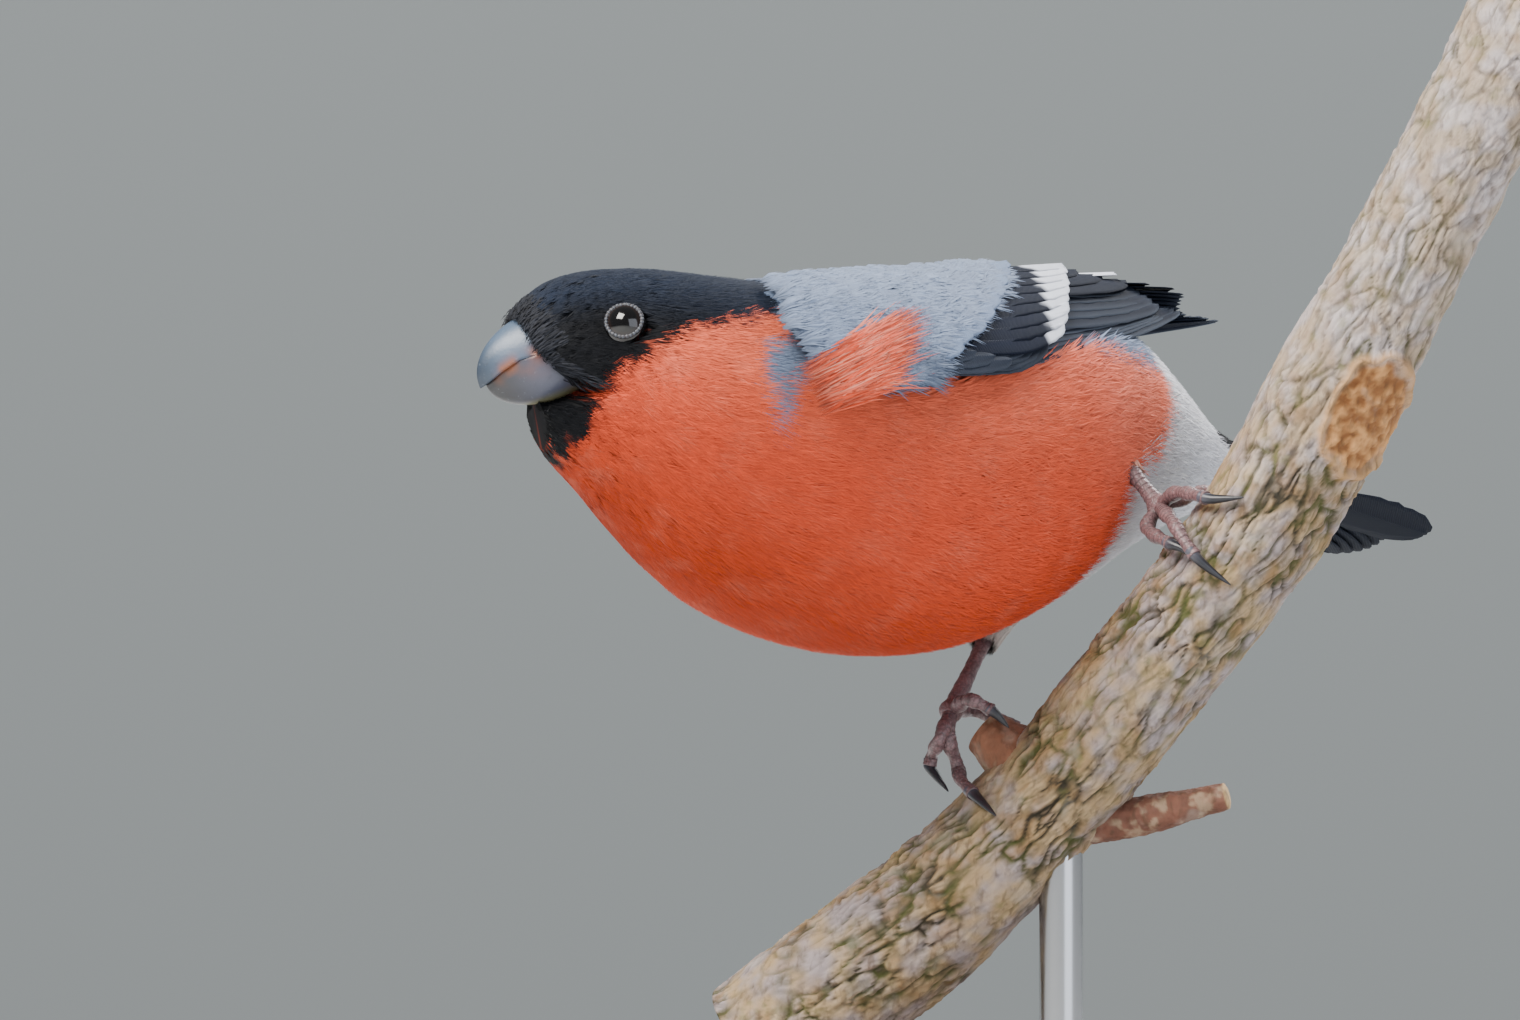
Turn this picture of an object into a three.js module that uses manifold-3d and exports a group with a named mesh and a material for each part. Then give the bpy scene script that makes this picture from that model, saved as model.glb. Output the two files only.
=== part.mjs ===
// A male bullfinch leaning forward on a cut length of branch, held by a display stand.
// Millimetres, +Z up. The bird's own frame has u forward, v to its left and z up, and
// is turned as a whole onto the perch. Each body form is a profile carried along a path.
import * as THREE from 'three';
import { mergeVertices } from 'three/addons/utils/BufferGeometryUtils.js';
import Module from 'manifold-3d';

const wasm = await Module();
wasm.setup();

// Driving dimensions
const GAP = 0.3; // clearance between touching pieces
const DEG = Math.PI / 180;
const BODY_PLACE = new THREE.Vector3(-15.8, -8, 0); // where the bird's frame stands in the model
const BODY_YAW = 225 * DEG; // the bird's forward axis, turned from +X
const REAR_U = -62; // u of the hind end of the body, where the tail starts
const HEAD_TURN = 25 * DEG; // the head looks this far to the bird's right
const TURN_START = 77;
const TURN_END = 100; // lengths along the spine between which the neck turns
const SECTION_POWER = 2.15; // 2 is an ellipse, more is squarer

// Sections of the body: length along the spine from the hind end, then the heights of
// the back and belly, half the width, the height of the widest line, and how far the
// section leans forward for each millimetre of height.
const SECTIONS = [
  [0, 98.8, 91.6, 7.0, 95.0, 0],
  [8, 102.4, 89.8, 10.0, 95.8, 0],
  [16, 108.6, 87.6, 13.6, 97.0, 0],
  [26, 115.2, 83.6, 18.0, 98.0, 0],
  [38, 118.6, 77.8, 21.8, 97.6, 0],
  [50, 119.4, 73.8, 23.8, 97.0, 0],
  [62, 118.8, 73.2, 24.6, 97.0, 0],
  [72, 117.0, 74.8, 24.2, 98.0, 0],
  [80, 117.6, 77.2, 22.2, 100.0, 0],
  [87, 118.4, 79.8, 18.8, 102.0, 0],
  [94, 119.1, 83.2, 15.0, 105.0, 0.04],
  [100.5, 118.9, 88.0, 11.9, 108.0, 0.1],
  [105, 117.6, 92.2, 8.2, 108.6, 0.16],
  [108, 115.4, 95.2, 6.0, 108.2, 0.2],
  [109.6, 113.4, 97.6, 4.4, 107.6, 0.2],
];
const EYE_STATION = 100.5;
const EYE_HEIGHT = 112.7;
const EYE_RADIUS = 2.7;
const EYE_SINK = 1.75; // the eye's centre lies this far inside the face
const LID_WIDTH = 0.55;
const HEAD_CUT = 92; // spine lengths of the thin cuts that part the body
const NECK_CUT = 80;
const RUMP_CUT = 20;

// Bill: its base centre ahead of and below the eyes, its drop, and its sizes
const BILL_AHEAD = 6.1;
const BILL_BELOW = 4.2;
const BILL_PITCH = 22 * DEG;
const BILL_LENGTH = 9.2;
const BILL_SUNK = 1.6;
const BILL_HALF_WIDTH = 4.6;
const CULMEN_HEIGHT = 5.7;
const GONYS_DEPTH = 5.0;
const LOWER_BILL_SHARE = 0.9; // the lower half of the bill is this share of the length

// Wing: its lower edge from the bend to the tip (length, u, v, z, slope of the wall in degrees)
const WING_EDGE = [
  [0, 25, 22.4, 104.0, 70],
  [8, 17.5, 24.4, 105.0, 69],
  [28, -3, 23.4, 106.6, 66],
  [40, -14.5, 20.4, 109.0, 60],
  [58, -32, 13.8, 111.6, 52],
  [80, -53.2, 4.6, 114.4, 42],
];
const WING_CURL = 2.7 * DEG; // the wall leans over by this for each millimetre up
const WING_CORE_TOP = -0.4;
const WING_CORE_BASE = -2.3;
const SHOULDER_TOP = 0.9;
const VANE_THICK = 0.62;
const FAR_WING_BACK = 9.5; // the far wing sits further back and lower
const FAR_WING_DOWN = 1.0;
const FAR_WING_SWING = 6 * DEG; // and crosses over the rump

// Tail
const TAIL_DROP = 17 * DEG;
const TAIL_ROOT_HEIGHT = 95.8;
const TAIL_CUP = 0.014; // its edges curl up by this for each square millimetre across
const TAIL_LENGTH = 32.2;
const TAIL_ROLL = 0.15; // the tail's left edge is raised by this for each millimetre across
const TAIL_PAIRS = 6;
const RECTRIX_WIDTH = 8.4;
const RECTRIX_STEP = 0.34;

// Perch: points of its axis, from the low end, with the branch's radius
const PERCH_POINTS = [
  [-26.2, 26.2, 9.6], [-18.3, 32.8, 9.3], [-3.8, 44.5, 8.7], [7.4, 56, 7.9], [17, 67.9, 7.9],
  [26.2, 79.8, 8.0], [34.3, 91.7, 8.3], [40.6, 103.6, 8.3], [47, 115.5, 7.7], [53.2, 127.4, 7.4],
  [59.6, 139.3, 7.5], [64.9, 150, 7.6], [68.7, 157, 7.7],
];
const PERCH_SWAY = 0.35; // the perch comes forward by this for each millimetre to +X
const PERCH_BACK = 1;

// Stand
const BASE_LENGTH = 104;
const BASE_WIDTH = 84;
const BASE_HEIGHT = 7;
const BASE_CORNER = 26;
const ROD_X = 9;
const ROD_RADIUS = 2.6;
const COLLAR_RADIUS = 6;
const COLLAR_HEIGHT = 4;

// Closed solids from points

/** A manifold-3d solid of a closed three.js geometry. */
function toSolid(geometry) {
  const bare = new THREE.BufferGeometry().setAttribute('position', geometry.getAttribute('position'));
  if (geometry.index) bare.setIndex(geometry.index);
  const merged = mergeVertices(bare, 1e-4);
  return new wasm.Manifold(new wasm.Mesh({
    numProp: 3,
    vertProperties: new Float32Array(merged.attributes.position.array),
    triVerts: new Uint32Array(merged.index.array),
  }));
}

/** The largest closed surface of a solid, as a three.js geometry with tiny edges welded. */
function toGeometry(solid) {
  const pieces = solid.decompose().sort((a, b) => b.volume() - a.volume());
  const mesh = pieces[0].getMesh();
  const geometry = new THREE.BufferGeometry()
    .setAttribute('position', new THREE.BufferAttribute(new Float32Array(mesh.vertProperties), 3));
  geometry.setIndex(new THREE.BufferAttribute(new Uint32Array(mesh.triVerts), 1));
  return geometry;
}

/** Skins rings of equal count and closes both ends with a fan; rings run with the path to their front. */
function loft(rings) {
  const count = rings[0].length;
  const points = rings.flat();
  const index = [];
  for (let i = 0; i + 1 < rings.length; i += 1) {
    for (let j = 0; j < count; j += 1) {
      const k = (j + 1) % count;
      const a = i * count + j;
      const b = i * count + k;
      const c = a + count;
      const d = b + count;
      index.push(a, b, d, a, d, c);
    }
  }
  const middle = (ring) => ring.reduce((sum, p) => sum.add(p), new THREE.Vector3()).divideScalar(count);
  const first = points.length;
  points.push(middle(rings[0]), middle(rings[rings.length - 1]));
  const last = (rings.length - 1) * count;
  for (let j = 0; j < count; j += 1) {
    const k = (j + 1) % count;
    index.push(first, k, j, first + 1, last + j, last + k);
  }
  return facingOut(points, index);
}

/** A closed plate between two grids of points (rows of equal length), split alike on both faces. */
function plate(top, bottom) {
  const rows = top.length;
  const columns = top[0].length;
  const points = [...top.flat(), ...bottom.flat()];
  const half = rows * columns;
  const index = [];
  const at = (i, j) => i * columns + j;
  for (let i = 0; i + 1 < rows; i += 1) {
    for (let j = 0; j + 1 < columns; j += 1) {
      const [a, b, c, d] = [at(i, j), at(i + 1, j), at(i + 1, j + 1), at(i, j + 1)];
      index.push(a, b, c, a, c, d, a + half, c + half, b + half, a + half, d + half, c + half);
    }
  }
  const wall = (a, b) => index.push(b, a, a + half, b, a + half, b + half);
  for (let j = 0; j + 1 < columns; j += 1) {
    wall(at(0, j + 1), at(0, j));
    wall(at(rows - 1, j), at(rows - 1, j + 1));
  }
  for (let i = 0; i + 1 < rows; i += 1) {
    wall(at(i, 0), at(i + 1, 0));
    wall(at(i + 1, columns - 1), at(i, columns - 1));
  }
  return facingOut(points, index);
}

/** A geometry whose faces point outwards, turned round if its volume comes out negative. */
function facingOut(points, index) {
  let volume = 0;
  for (let i = 0; i < index.length; i += 3) {
    const [a, b, c] = [points[index[i]], points[index[i + 1]], points[index[i + 2]]];
    volume += a.dot(new THREE.Vector3().crossVectors(b, c));
  }
  if (volume < 0) {
    for (let i = 0; i < index.length; i += 3) [index[i + 1], index[i + 2]] = [index[i + 2], index[i + 1]];
  }
  const positions = new Float32Array(points.flatMap((p) => [p.x, p.y, p.z]));
  return new THREE.BufferGeometry()
    .setAttribute('position', new THREE.BufferAttribute(positions, 3))
    .setIndex(index);
}

/** Value of a table's column at a key, by a smooth curve through its rows. */
function along(table, key, column) {
  const last = table.length - 1;
  let i = 0;
  while (i < last - 1 && key > table[i + 1][0]) i += 1;
  const slope = (k) => {
    const before = table[Math.max(k - 1, 0)];
    const after = table[Math.min(k + 1, last)];
    return (after[column] - before[column]) / (after[0] - before[0]);
  };
  const span = table[i + 1][0] - table[i][0];
  const t = (key - table[i][0]) / span;
  const start = table[i][column];
  const end = table[i + 1][column];
  const blend = t * t * (3 - 2 * t);
  return start + (end - start) * blend + span * t * (1 - t) * ((1 - t) * slope(i) - t * slope(i + 1));
}

/** A round tube along a smooth curve, with its radius as a function of the share of the way. */
function tube(points, radiusAt, steps, sides) {
  const curve = new THREE.CatmullRomCurve3(points);
  const rings = [];
  const up = new THREE.Vector3(0, 0, 1);
  for (let i = 0; i <= steps; i += 1) {
    const share = i / steps;
    const centre = curve.getPointAt(share);
    const ahead = curve.getTangentAt(share);
    const side = new THREE.Vector3().crossVectors(up, ahead);
    if (side.length() < 0.1) side.set(0, 1, 0);
    side.normalize();
    const over = new THREE.Vector3().crossVectors(ahead, side);
    const radius = radiusAt(share);
    const ring = [];
    for (let j = 0; j < sides; j += 1) {
      const turn = (j / sides) * 2 * Math.PI;
      ring.push(centre.clone()
        .addScaledVector(side, radius * Math.cos(turn))
        .addScaledVector(over, radius * Math.sin(turn)));
    }
    rings.push(ring);
  }
  return loft(rings);
}

const unite = (solids) => wasm.Manifold.union(solids);

// Body

/** Place and heading of the spine at a length from the hind end. */
function spine(length) {
  const straight = Math.min(length, TURN_START);
  const place = new THREE.Vector2(REAR_U + straight, 0);
  const step = 0.5;
  for (let s = TURN_START; s < length; s += step) {
    const part = Math.min(step, length - s);
    const turn = heading(s + part / 2);
    place.x += part * Math.cos(turn);
    place.y -= part * Math.sin(turn);
  }
  return { u: place.x, v: place.y, turn: heading(length) };
}

/** The angle to the bird's right of the spine, eased in over the neck. */
function heading(length) {
  return HEAD_TURN * THREE.MathUtils.smoothstep(length, TURN_START, TURN_END);
}

/** A point of the plumage's outside: a length along the spine, an angle round it, and growth outwards. */
function bodyPoint(length, angle, growth = 0) {
  const [top, bottom, half, widest, lean] = [1, 2, 3, 4, 5].map((c) => along(SECTIONS, length, c));
  const rounded = (x) => Math.sign(x) * Math.abs(x) ** (2 / SECTION_POWER);
  const rise = rounded(Math.sin(angle));
  const height = (rise > 0 ? top - widest : widest - bottom) + growth;
  const z = widest + rise * height;
  const across = rounded(Math.cos(angle)) * (half + growth);
  const { u, v, turn } = spine(length + lean * (z - widest));
  return new THREE.Vector3(u + across * Math.sin(turn), v + across * Math.cos(turn), z);
}

/** The closed plumage between two lengths of the spine. */
function bodySolid(from, to, steps, growth = 0, sides = 24) {
  const rings = [];
  for (let i = 0; i <= steps; i += 1) {
    const length = from + ((to - from) * i) / steps;
    const ring = [];
    for (let j = 0; j < sides; j += 1) ring.push(bodyPoint(length, (j / sides) * 2 * Math.PI, growth));
    rings.push(ring);
  }
  return toSolid(loft(rings));
}

/** A thin upright slab across the spine, for a cut of one gap's width. */
function cutAcross(length) {
  const { u, v, turn } = spine(length);
  const slab = new THREE.BoxGeometry(GAP, 90, 90);
  slab.rotateZ(-turn).translate(u, v, 95);
  return toSolid(slab);
}

// Head

/** Centre of an eye and the way it looks; side is 1 for the left and -1 for the right. */
function eyePlace(side) {
  const top = along(SECTIONS, EYE_STATION, 1);
  const widest = along(SECTIONS, EYE_STATION, 4);
  const rise = ((EYE_HEIGHT - widest) / (top - widest)) ** (SECTION_POWER / 2);
  const angle = side > 0 ? Math.asin(rise) : Math.PI - Math.asin(rise);
  const surface = bodyPoint(EYE_STATION, angle);
  const ahead = bodyPoint(EYE_STATION + 1, angle).sub(bodyPoint(EYE_STATION - 1, angle));
  const upward = bodyPoint(EYE_STATION, angle + side * 0.05).sub(bodyPoint(EYE_STATION, angle - side * 0.05));
  const out = new THREE.Vector3().crossVectors(upward, ahead).multiplyScalar(side).normalize();
  return { centre: surface.clone().addScaledVector(out, -EYE_SINK), out };
}

function eyeball(side, growth = 0) {
  const { centre } = eyePlace(side);
  return toSolid(new THREE.SphereGeometry(EYE_RADIUS + growth, 14, 9).translate(centre.x, centre.y, centre.z));
}

/** The ring of lids round an eye. */
function lids(side) {
  const { centre, out } = eyePlace(side);
  const opening = Math.sqrt(EYE_RADIUS ** 2 - (EYE_SINK - 0.35) ** 2) + 0.25;
  const ring = new THREE.TorusGeometry(opening, LID_WIDTH, 5, 16);
  ring.applyQuaternion(new THREE.Quaternion().setFromUnitVectors(new THREE.Vector3(0, 0, 1), out));
  const rim = centre.clone().addScaledVector(out, EYE_SINK - 0.3);
  return toSolid(ring.translate(rim.x, rim.y, rim.z));
}

/** A point of the bill: share of its length, angle round it, and growth outwards. */
function billPoint(share, angle, growth, length) {
  const taper = Math.sqrt(Math.max(1 - Math.max(share, 0) ** 2.1, 0));
  const upper = Math.sin(angle) > 0;
  const height = (upper ? CULMEN_HEIGHT : GONYS_DEPTH) * taper + growth;
  const half = BILL_HALF_WIDTH * Math.max(1 - Math.max(share, 0) ** 1.7, 0) ** 0.8 + growth;
  return new THREE.Vector3(share * length, half * Math.cos(angle), height * Math.sin(angle));
}

/** The whole bill in its own frame: x along it, z up. */
function billForm(growth, length, from) {
  const shares = [from / length, 0, 0.18, 0.36, 0.54, 0.7, 0.83, 0.93, 0.985];
  const sides = 16;
  return loft(shares.map((share) => {
    const ring = [];
    for (let j = 0; j < sides; j += 1) {
      ring.push(billPoint(share, (j / sides) * 2 * Math.PI, growth, length));
    }
    return ring;
  }));
}

/** Turns and moves a geometry or solid's matrix from the bill's frame into the bird's. */
function billMatrix() {
  const { u, v, turn } = spine(EYE_STATION + BILL_AHEAD);
  return new THREE.Matrix4()
    .makeTranslation(u, v, EYE_HEIGHT - BILL_BELOW)
    .multiply(new THREE.Matrix4().makeRotationZ(-turn))
    .multiply(new THREE.Matrix4().makeRotationY(BILL_PITCH));
}

/** The volume above the mouth line, which arches in the middle and drops at the tip and the gape. */
function aboveMouth(shift) {
  const line = [[-4, -1.6], [0, 0.2], [2.2, 1.15], [4.5, 1.3], [6.6, 0.7], [8.2, 0.0], [11, -1.2]];
  const wide = 12;
  const edge = (z) => line.map(([x]) => [new THREE.Vector3(x, -wide, z), new THREE.Vector3(x, wide, z)]);
  const low = line.map(([x, z]) => [
    new THREE.Vector3(x, -wide, z + shift),
    new THREE.Vector3(x, wide, z + shift),
  ]);
  return toSolid(plate(edge(wide), low));
}

function buildBill() {
  const whole = toSolid(billForm(0, BILL_LENGTH, -BILL_SUNK));
  const short = toSolid(billForm(0, BILL_LENGTH * LOWER_BILL_SHARE, -BILL_SUNK));
  const place = billMatrix();
  const settle = (solid) => toGeometry(solid).applyMatrix4(place);
  return {
    upper: settle(whole.intersect(aboveMouth(GAP / 2))),
    lower: settle(short.subtract(aboveMouth(-GAP / 2))),
    room: toSolid(billForm(GAP, BILL_LENGTH, -BILL_SUNK - GAP).applyMatrix4(place)),
  };
}

// Wings

/** A point of the wing's guide sheet: p along from the bend, q up from the lower edge, h outwards. */
function wingPoint(p, q, h) {
  const [u, edgeV, edgeZ, slope] = [1, 2, 3, 4].map((c) => along(WING_EDGE, p, c));
  const first = slope * DEG;
  const here = first - WING_CURL * q;
  const v = edgeV - (Math.sin(first) - Math.sin(here)) / WING_CURL;
  const z = edgeZ + (Math.cos(here) - Math.cos(first)) / WING_CURL;
  return new THREE.Vector3(u, v + h * Math.sin(here), z + h * Math.cos(here));
}

/** How far up the guide sheet the wing's core reaches at a length from the bend. */
const wingHeight = (p) => THREE.MathUtils.lerp(20.5, 12, THREE.MathUtils.smoothstep(p, 30, 70));

/** A flat plate of the wing between two depths. */
function wingPlate(from, to, low, high, base, top, steps, columns) {
  const grid = (h) => {
    const rows = [];
    for (let i = 0; i <= steps; i += 1) {
      const p = from + ((to - from) * i) / steps;
      const row = [];
      for (let j = 0; j <= columns; j += 1) {
        const q = low + ((wingHeight(p) + high - low) * j) / columns;
        row.push(wingPoint(p, q, h));
      }
      rows.push(row);
    }
    return rows;
  };
  return toSolid(plate(grid(top), grid(base)));
}

/** Half the width of a vane at a share of its length, as a share of its greatest half width. */
const vaneWidth = (share) => (share < 0.55
  ? THREE.MathUtils.lerp(0.6, 1, share / 0.55)
  : Math.sqrt(Math.max(1 - ((share - 0.55) / 0.47) ** 2.6, 0.08)));

/** One feather's vane on a guide sheet, from root to tip, its lower edge tilted up by tilt. */
function vane(sheet, { root, tip, width, lift, tilt, steps, thick = VANE_THICK }) {
  const way = new THREE.Vector2(tip[0] - root[0], tip[1] - root[1]).normalize();
  const face = (offset) => {
    const rows = [];
    for (let i = 0; i <= steps; i += 1) {
      const share = 1 - (1 - i / steps) ** 1.25;
      const p = THREE.MathUtils.lerp(root[0], tip[0], share);
      const q = THREE.MathUtils.lerp(root[1], tip[1], share);
      const half = (width / 2) * vaneWidth(share);
      const rise = lift[0] + (lift[1] - lift[0]) * share;
      rows.push([-half, half].map((side) => (
        sheet(p - way.y * side, q + way.x * side, rise - tilt * side + offset))));
    }
    return rows;
  };
  return toSolid(plate(face(thick / 2), face(-thick / 2)));
}

/** Tiers of the folded wing, each as a function of the feather's share of the tier. */
const WING_TIERS = [
  { // primaries, from the outermost
    count: 7, width: 4.2, tilt: 0.4, steps: 4, lift: [-1.1, -0.7],
    root: (t) => [30, 1.6 + 5 * t],
    tip: (t) => [78.8 - 9 * Math.max(t - 0.12, 0) - 16 * Math.max(0.12 - t, 0), 1.1 + 3 * t],
  },
  { // secondaries
    count: 6, width: 5.2, tilt: 0.2, steps: 4, lift: [-0.5, -0.3],
    root: (t) => [26, 7 + 9 * t],
    tip: (t) => [73 - 2.5 * t, 2.8 + 4.8 * t],
  },
  { // tertials
    count: 3, width: 6.6, tilt: 0.2, steps: 4, lift: [0, 0.1],
    root: (t) => [24, 14 + 3.5 * t],
    tip: (t) => [69.5 - 8.5 * t, 7.6 + 4.4 * t],
  },
  { // primary coverts
    count: 4, width: 4.2, tilt: 0.25, steps: 3, lift: [-0.3, 0.1],
    root: (t) => [16, 2.2 + 3 * t],
    tip: (t) => [37.5 - 4.5 * t, 1.6 + 2 * t],
  },
  { // greater coverts
    count: 8, width: 5.2, tilt: 0.22, steps: 3, lift: [0, 0.55],
    root: (t) => [19 + 15 * t, 4.8 + 12.2 * t],
    tip: (t) => [43 + 16.5 * t, 3.2 + 10.4 * t],
  },
  { // alula
    count: 2, width: 3.4, tilt: 0.3, steps: 3, lift: [0.2, 0.6],
    root: (t) => [9, 3.4 + 1.4 * t],
    tip: (t) => [29 - 5 * t, 1.8 + 1.4 * t],
  },
  { // median coverts
    count: 6, width: 6.2, tilt: 0.2, steps: 3, lift: [0.3, 1.1],
    root: (t) => [9 + 19 * t, 5 + 11.5 * t],
    tip: (t) => [20.5 + 24.5 * t, 4.6 + 11 * t],
  },
];

/** The left wing as one solid: a core plate with every tier of vanes fused to it. */
function wingSolid() {
  const core = wingPlate(2, 56, 1.2, -0.5, WING_CORE_BASE, WING_CORE_TOP, 7, 4);
  const shoulder = wingPlate(2, 20, 1.6, -0.9, WING_CORE_TOP - 0.5, SHOULDER_TOP, 4, 4);
  const vanes = WING_TIERS.flatMap(({ count, root, tip, ...shape }) => (
    Array.from({ length: count }, (_, i) => i / (count - 1)).map((t) => (
      vane(wingPoint, { ...shape, root: root(t), tip: tip(t) })))));
  return unite([core, shoulder, ...vanes]);
}

/** The room that a wing takes in the back, one gap wider than the wing itself. */
const wingRoom = () => wingPlate(0.5, 76, -2.6, 2.6, WING_CORE_BASE - 2 * GAP, 9, 14, 7);

/** The far wing's own place: mirrored, moved back and swung about its bend. */
function farWingMatrix() {
  const bend = new THREE.Vector3(WING_EDGE[0][1], -WING_EDGE[0][2], 0);
  return new THREE.Matrix4()
    .makeTranslation(bend.x - FAR_WING_BACK, bend.y, -FAR_WING_DOWN)
    .multiply(new THREE.Matrix4().makeRotationZ(-FAR_WING_SWING))
    .multiply(new THREE.Matrix4().makeTranslation(-bend.x, -bend.y, 0))
    .multiply(new THREE.Matrix4().makeScale(1, -1, 1));
}

/** A solid moved by a three.js matrix. */
const moved = (solid, matrix) => solid.transform(matrix.elements.slice());

// Tail

/** A point of the tail's guide sheet: p back from the body's end, q to the left, h up. */
function tailPoint(p, q, h) {
  const bend = (TAIL_ROLL * q + TAIL_CUP * q * q) * Math.min(p / 12, 1);
  const z = TAIL_ROOT_HEIGHT - p * Math.sin(TAIL_DROP) + (h + bend) * Math.cos(TAIL_DROP);
  return new THREE.Vector3(REAR_U - GAP - p * Math.cos(TAIL_DROP) - h * Math.sin(TAIL_DROP), q, z);
}

/** The root of the tail, which carries on the body's hind section and thins out under the coverts. */
function tailRoot() {
  const sections = [[0.01, 6.9, 3.3, -3.6], [5, 7.4, 2.5, -2.9], [11, 7.8, 1.4, -1.9], [16, 7.0, 0.7, -1.2]];
  const sides = 16;
  return toSolid(loft(sections.map(([p, half, top, bottom]) => {
    const ring = [];
    for (let j = 0; j < sides; j += 1) {
      const turn = (j / sides) * 2 * Math.PI;
      const rise = Math.sin(turn);
      ring.push(tailPoint(p, half * Math.cos(turn), rise > 0 ? rise * top : -rise * bottom));
    }
    return ring;
  })));
}

/** The tail: pairs of flight feathers, the middle pair on top, with coverts above and below the root. */
function tailSolid() {
  const feathers = [];
  for (let pair = 0; pair < TAIL_PAIRS; pair += 1) {
    for (const side of [1, -1]) {
      const place = side * (1 + 1.15 * pair);
      const lift = 0.5 - RECTRIX_STEP * (pair + (side < 0 ? 0.5 : 0));
      feathers.push(vane(tailPoint, {
        root: [0.2, place * 0.5],
        tip: [TAIL_LENGTH - 1.2 + 0.5 * pair - 0.13 * pair * pair, place * 1.15],
        width: RECTRIX_WIDTH,
        lift: [lift, lift],
        tilt: 0,
        steps: 5,
        thick: 0.6,
      }));
    }
  }
  const coverts = (count, reach, lift) => Array.from({ length: count }, (_, i) => {
    const q = (i / (count - 1) - 0.5) * 9;
    return vane(tailPoint, {
      root: [0.5, q * 0.8], tip: [reach - Math.abs(q) * 0.7, q], width: 5.4, lift, tilt: 0, steps: 3,
    });
  });
  return unite([tailRoot(), ...feathers, ...coverts(5, 14, [2.2, 1.1]), ...coverts(4, 19, [-2.6, -1.9])]);
}

// Perch

const perchY = (x) => PERCH_BACK - PERCH_SWAY * x;
const perchCurve = new THREE.CatmullRomCurve3(
  PERCH_POINTS.map(([x, z]) => new THREE.Vector3(x, perchY(x), z)),
);

/** The branch's frame at a share of its length: centre, way, over (up and to -X) and near (to -Y). */
function perchFrame(share) {
  const centre = perchCurve.getPoint(share);
  const way = perchCurve.getTangent(share);
  const over = new THREE.Vector3(-1, 0, 0).addScaledVector(way, way.x).normalize();
  over.addScaledVector(way, -over.dot(way)).normalize();
  const near = new THREE.Vector3().crossVectors(way, over);
  if (near.y > 0) near.negate();
  const rank = share * (PERCH_POINTS.length - 1);
  const low = Math.min(Math.floor(rank), PERCH_POINTS.length - 2);
  const radius = THREE.MathUtils.lerp(PERCH_POINTS[low][2], PERCH_POINTS[low + 1][2], rank - low);
  return { centre, way, over, near, radius };
}

/** A point by the branch: share along, degrees round from its upper side to the near side, and distance from its bark. */
function byPerch(share, degrees, distance) {
  const { centre, over, near, radius } = perchFrame(share);
  const reach = radius + distance;
  return centre.clone()
    .addScaledVector(over, reach * Math.cos(degrees * DEG))
    .addScaledVector(near, reach * Math.sin(degrees * DEG));
}

const stubWay = new THREE.LineCurve3(
  new THREE.Vector3(8, perchY(8), 57.5), new THREE.Vector3(-0.4, perchY(0) - 0.5, 64.4),
);
const stubRadius = (share) => 5.6 - 3.0 * share;
const BARK_SAMPLES = [
  ...Array.from({ length: 240 }, (_, i) => perchFrame(i / 239)),
  ...Array.from({ length: 12 }, (_, i) => ({ centre: stubWay.getPoint(i / 12), radius: stubRadius(i / 12) })),
];

/** Distance of a point from the bark of the branch or of its stub. */
function barkDistance(point) {
  return BARK_SAMPLES.reduce((least, { centre, radius }) => (
    Math.min(least, centre.distanceTo(point) - radius)), Infinity);
}

/** The point above x and z that lies a distance off the bark, on its near side, or its far side. */
function onBark(x, z, distance, far = 0) {
  const step = 0.05;
  const way = far ? -step : step;
  const point = new THREE.Vector3(x, perchY(x) - way * 600, z);
  let least = point.clone();
  for (let i = 0; i < 1200; i += 1) {
    point.y += way;
    const here = barkDistance(point);
    if (here <= distance) return point;
    if (here < barkDistance(least)) least = point.clone();
  }
  return least;
}

function perchForm(growth, steps, sides) {
  const rings = [];
  for (let i = 0; i <= steps; i += 1) {
    const share = i / steps;
    const ring = [];
    for (let j = 0; j < sides; j += 1) {
      const degrees = (j / sides) * 360;
      const uneven = 0.22 * Math.sin(3 * degrees * DEG + 9 * share) - 0.22;
      ring.push(byPerch(share, degrees, growth + uneven));
    }
    rings.push(ring);
  }
  return toSolid(loft(rings));
}

/** The branch with its pruned knot, its side twig, and the stub that the right foot holds. */
function perchSolid(growth = 0) {
  const knotAt = perchFrame(0.575);
  const knotWay = knotAt.near.clone().addScaledVector(knotAt.over, -0.5).normalize();
  const knot = tube(
    [0, 4.2, 8.4].map((d) => knotAt.centre.clone().addScaledVector(knotWay, d)),
    (t) => 5.4 - 1.1 * t + growth, 3, 14,
  );
  const twigAt = byPerch(0.252, 165, -3);
  const twig = tube(
    [[0, 0, 0], [6, -1.2, 0.9], [12, -2.6, 2.2], [17.6, -3.6, 3.6]].map((d) => twigAt.clone().add(new THREE.Vector3(...d))),
    (t) => 2.5 - 0.9 * t + 0.5 * Math.sin(Math.PI * Math.min(t * 1.3, 1)) * t + growth, 8, 10,
  );
  const stub = tube([0, 0.5, 1].map((t) => stubWay.getPoint(t)), (t) => stubRadius(t) + growth, 4, 12);
  return unite([perchForm(growth, 22, 14), ...[knot, twig, stub].map(toSolid)]);
}

// Legs and feet

const ANKLES = { left: [17.0, -4.6, 95.6], right: [1.6, 12, 78.2] };
const FEET = { left: [20.6, -6, 91], right: [-4, 0.6, 66.6] };
const HIDDEN = { left: [12, 6, 98], right: [4, 20, 88] };
const CUFF_END = { left: 0.3, right: 0.3 };
const TARSUS_RADIUS = 1.0;
const PAD_RADIUS = 1.45;
const CUFF_RADIUS = 1.6;

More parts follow.
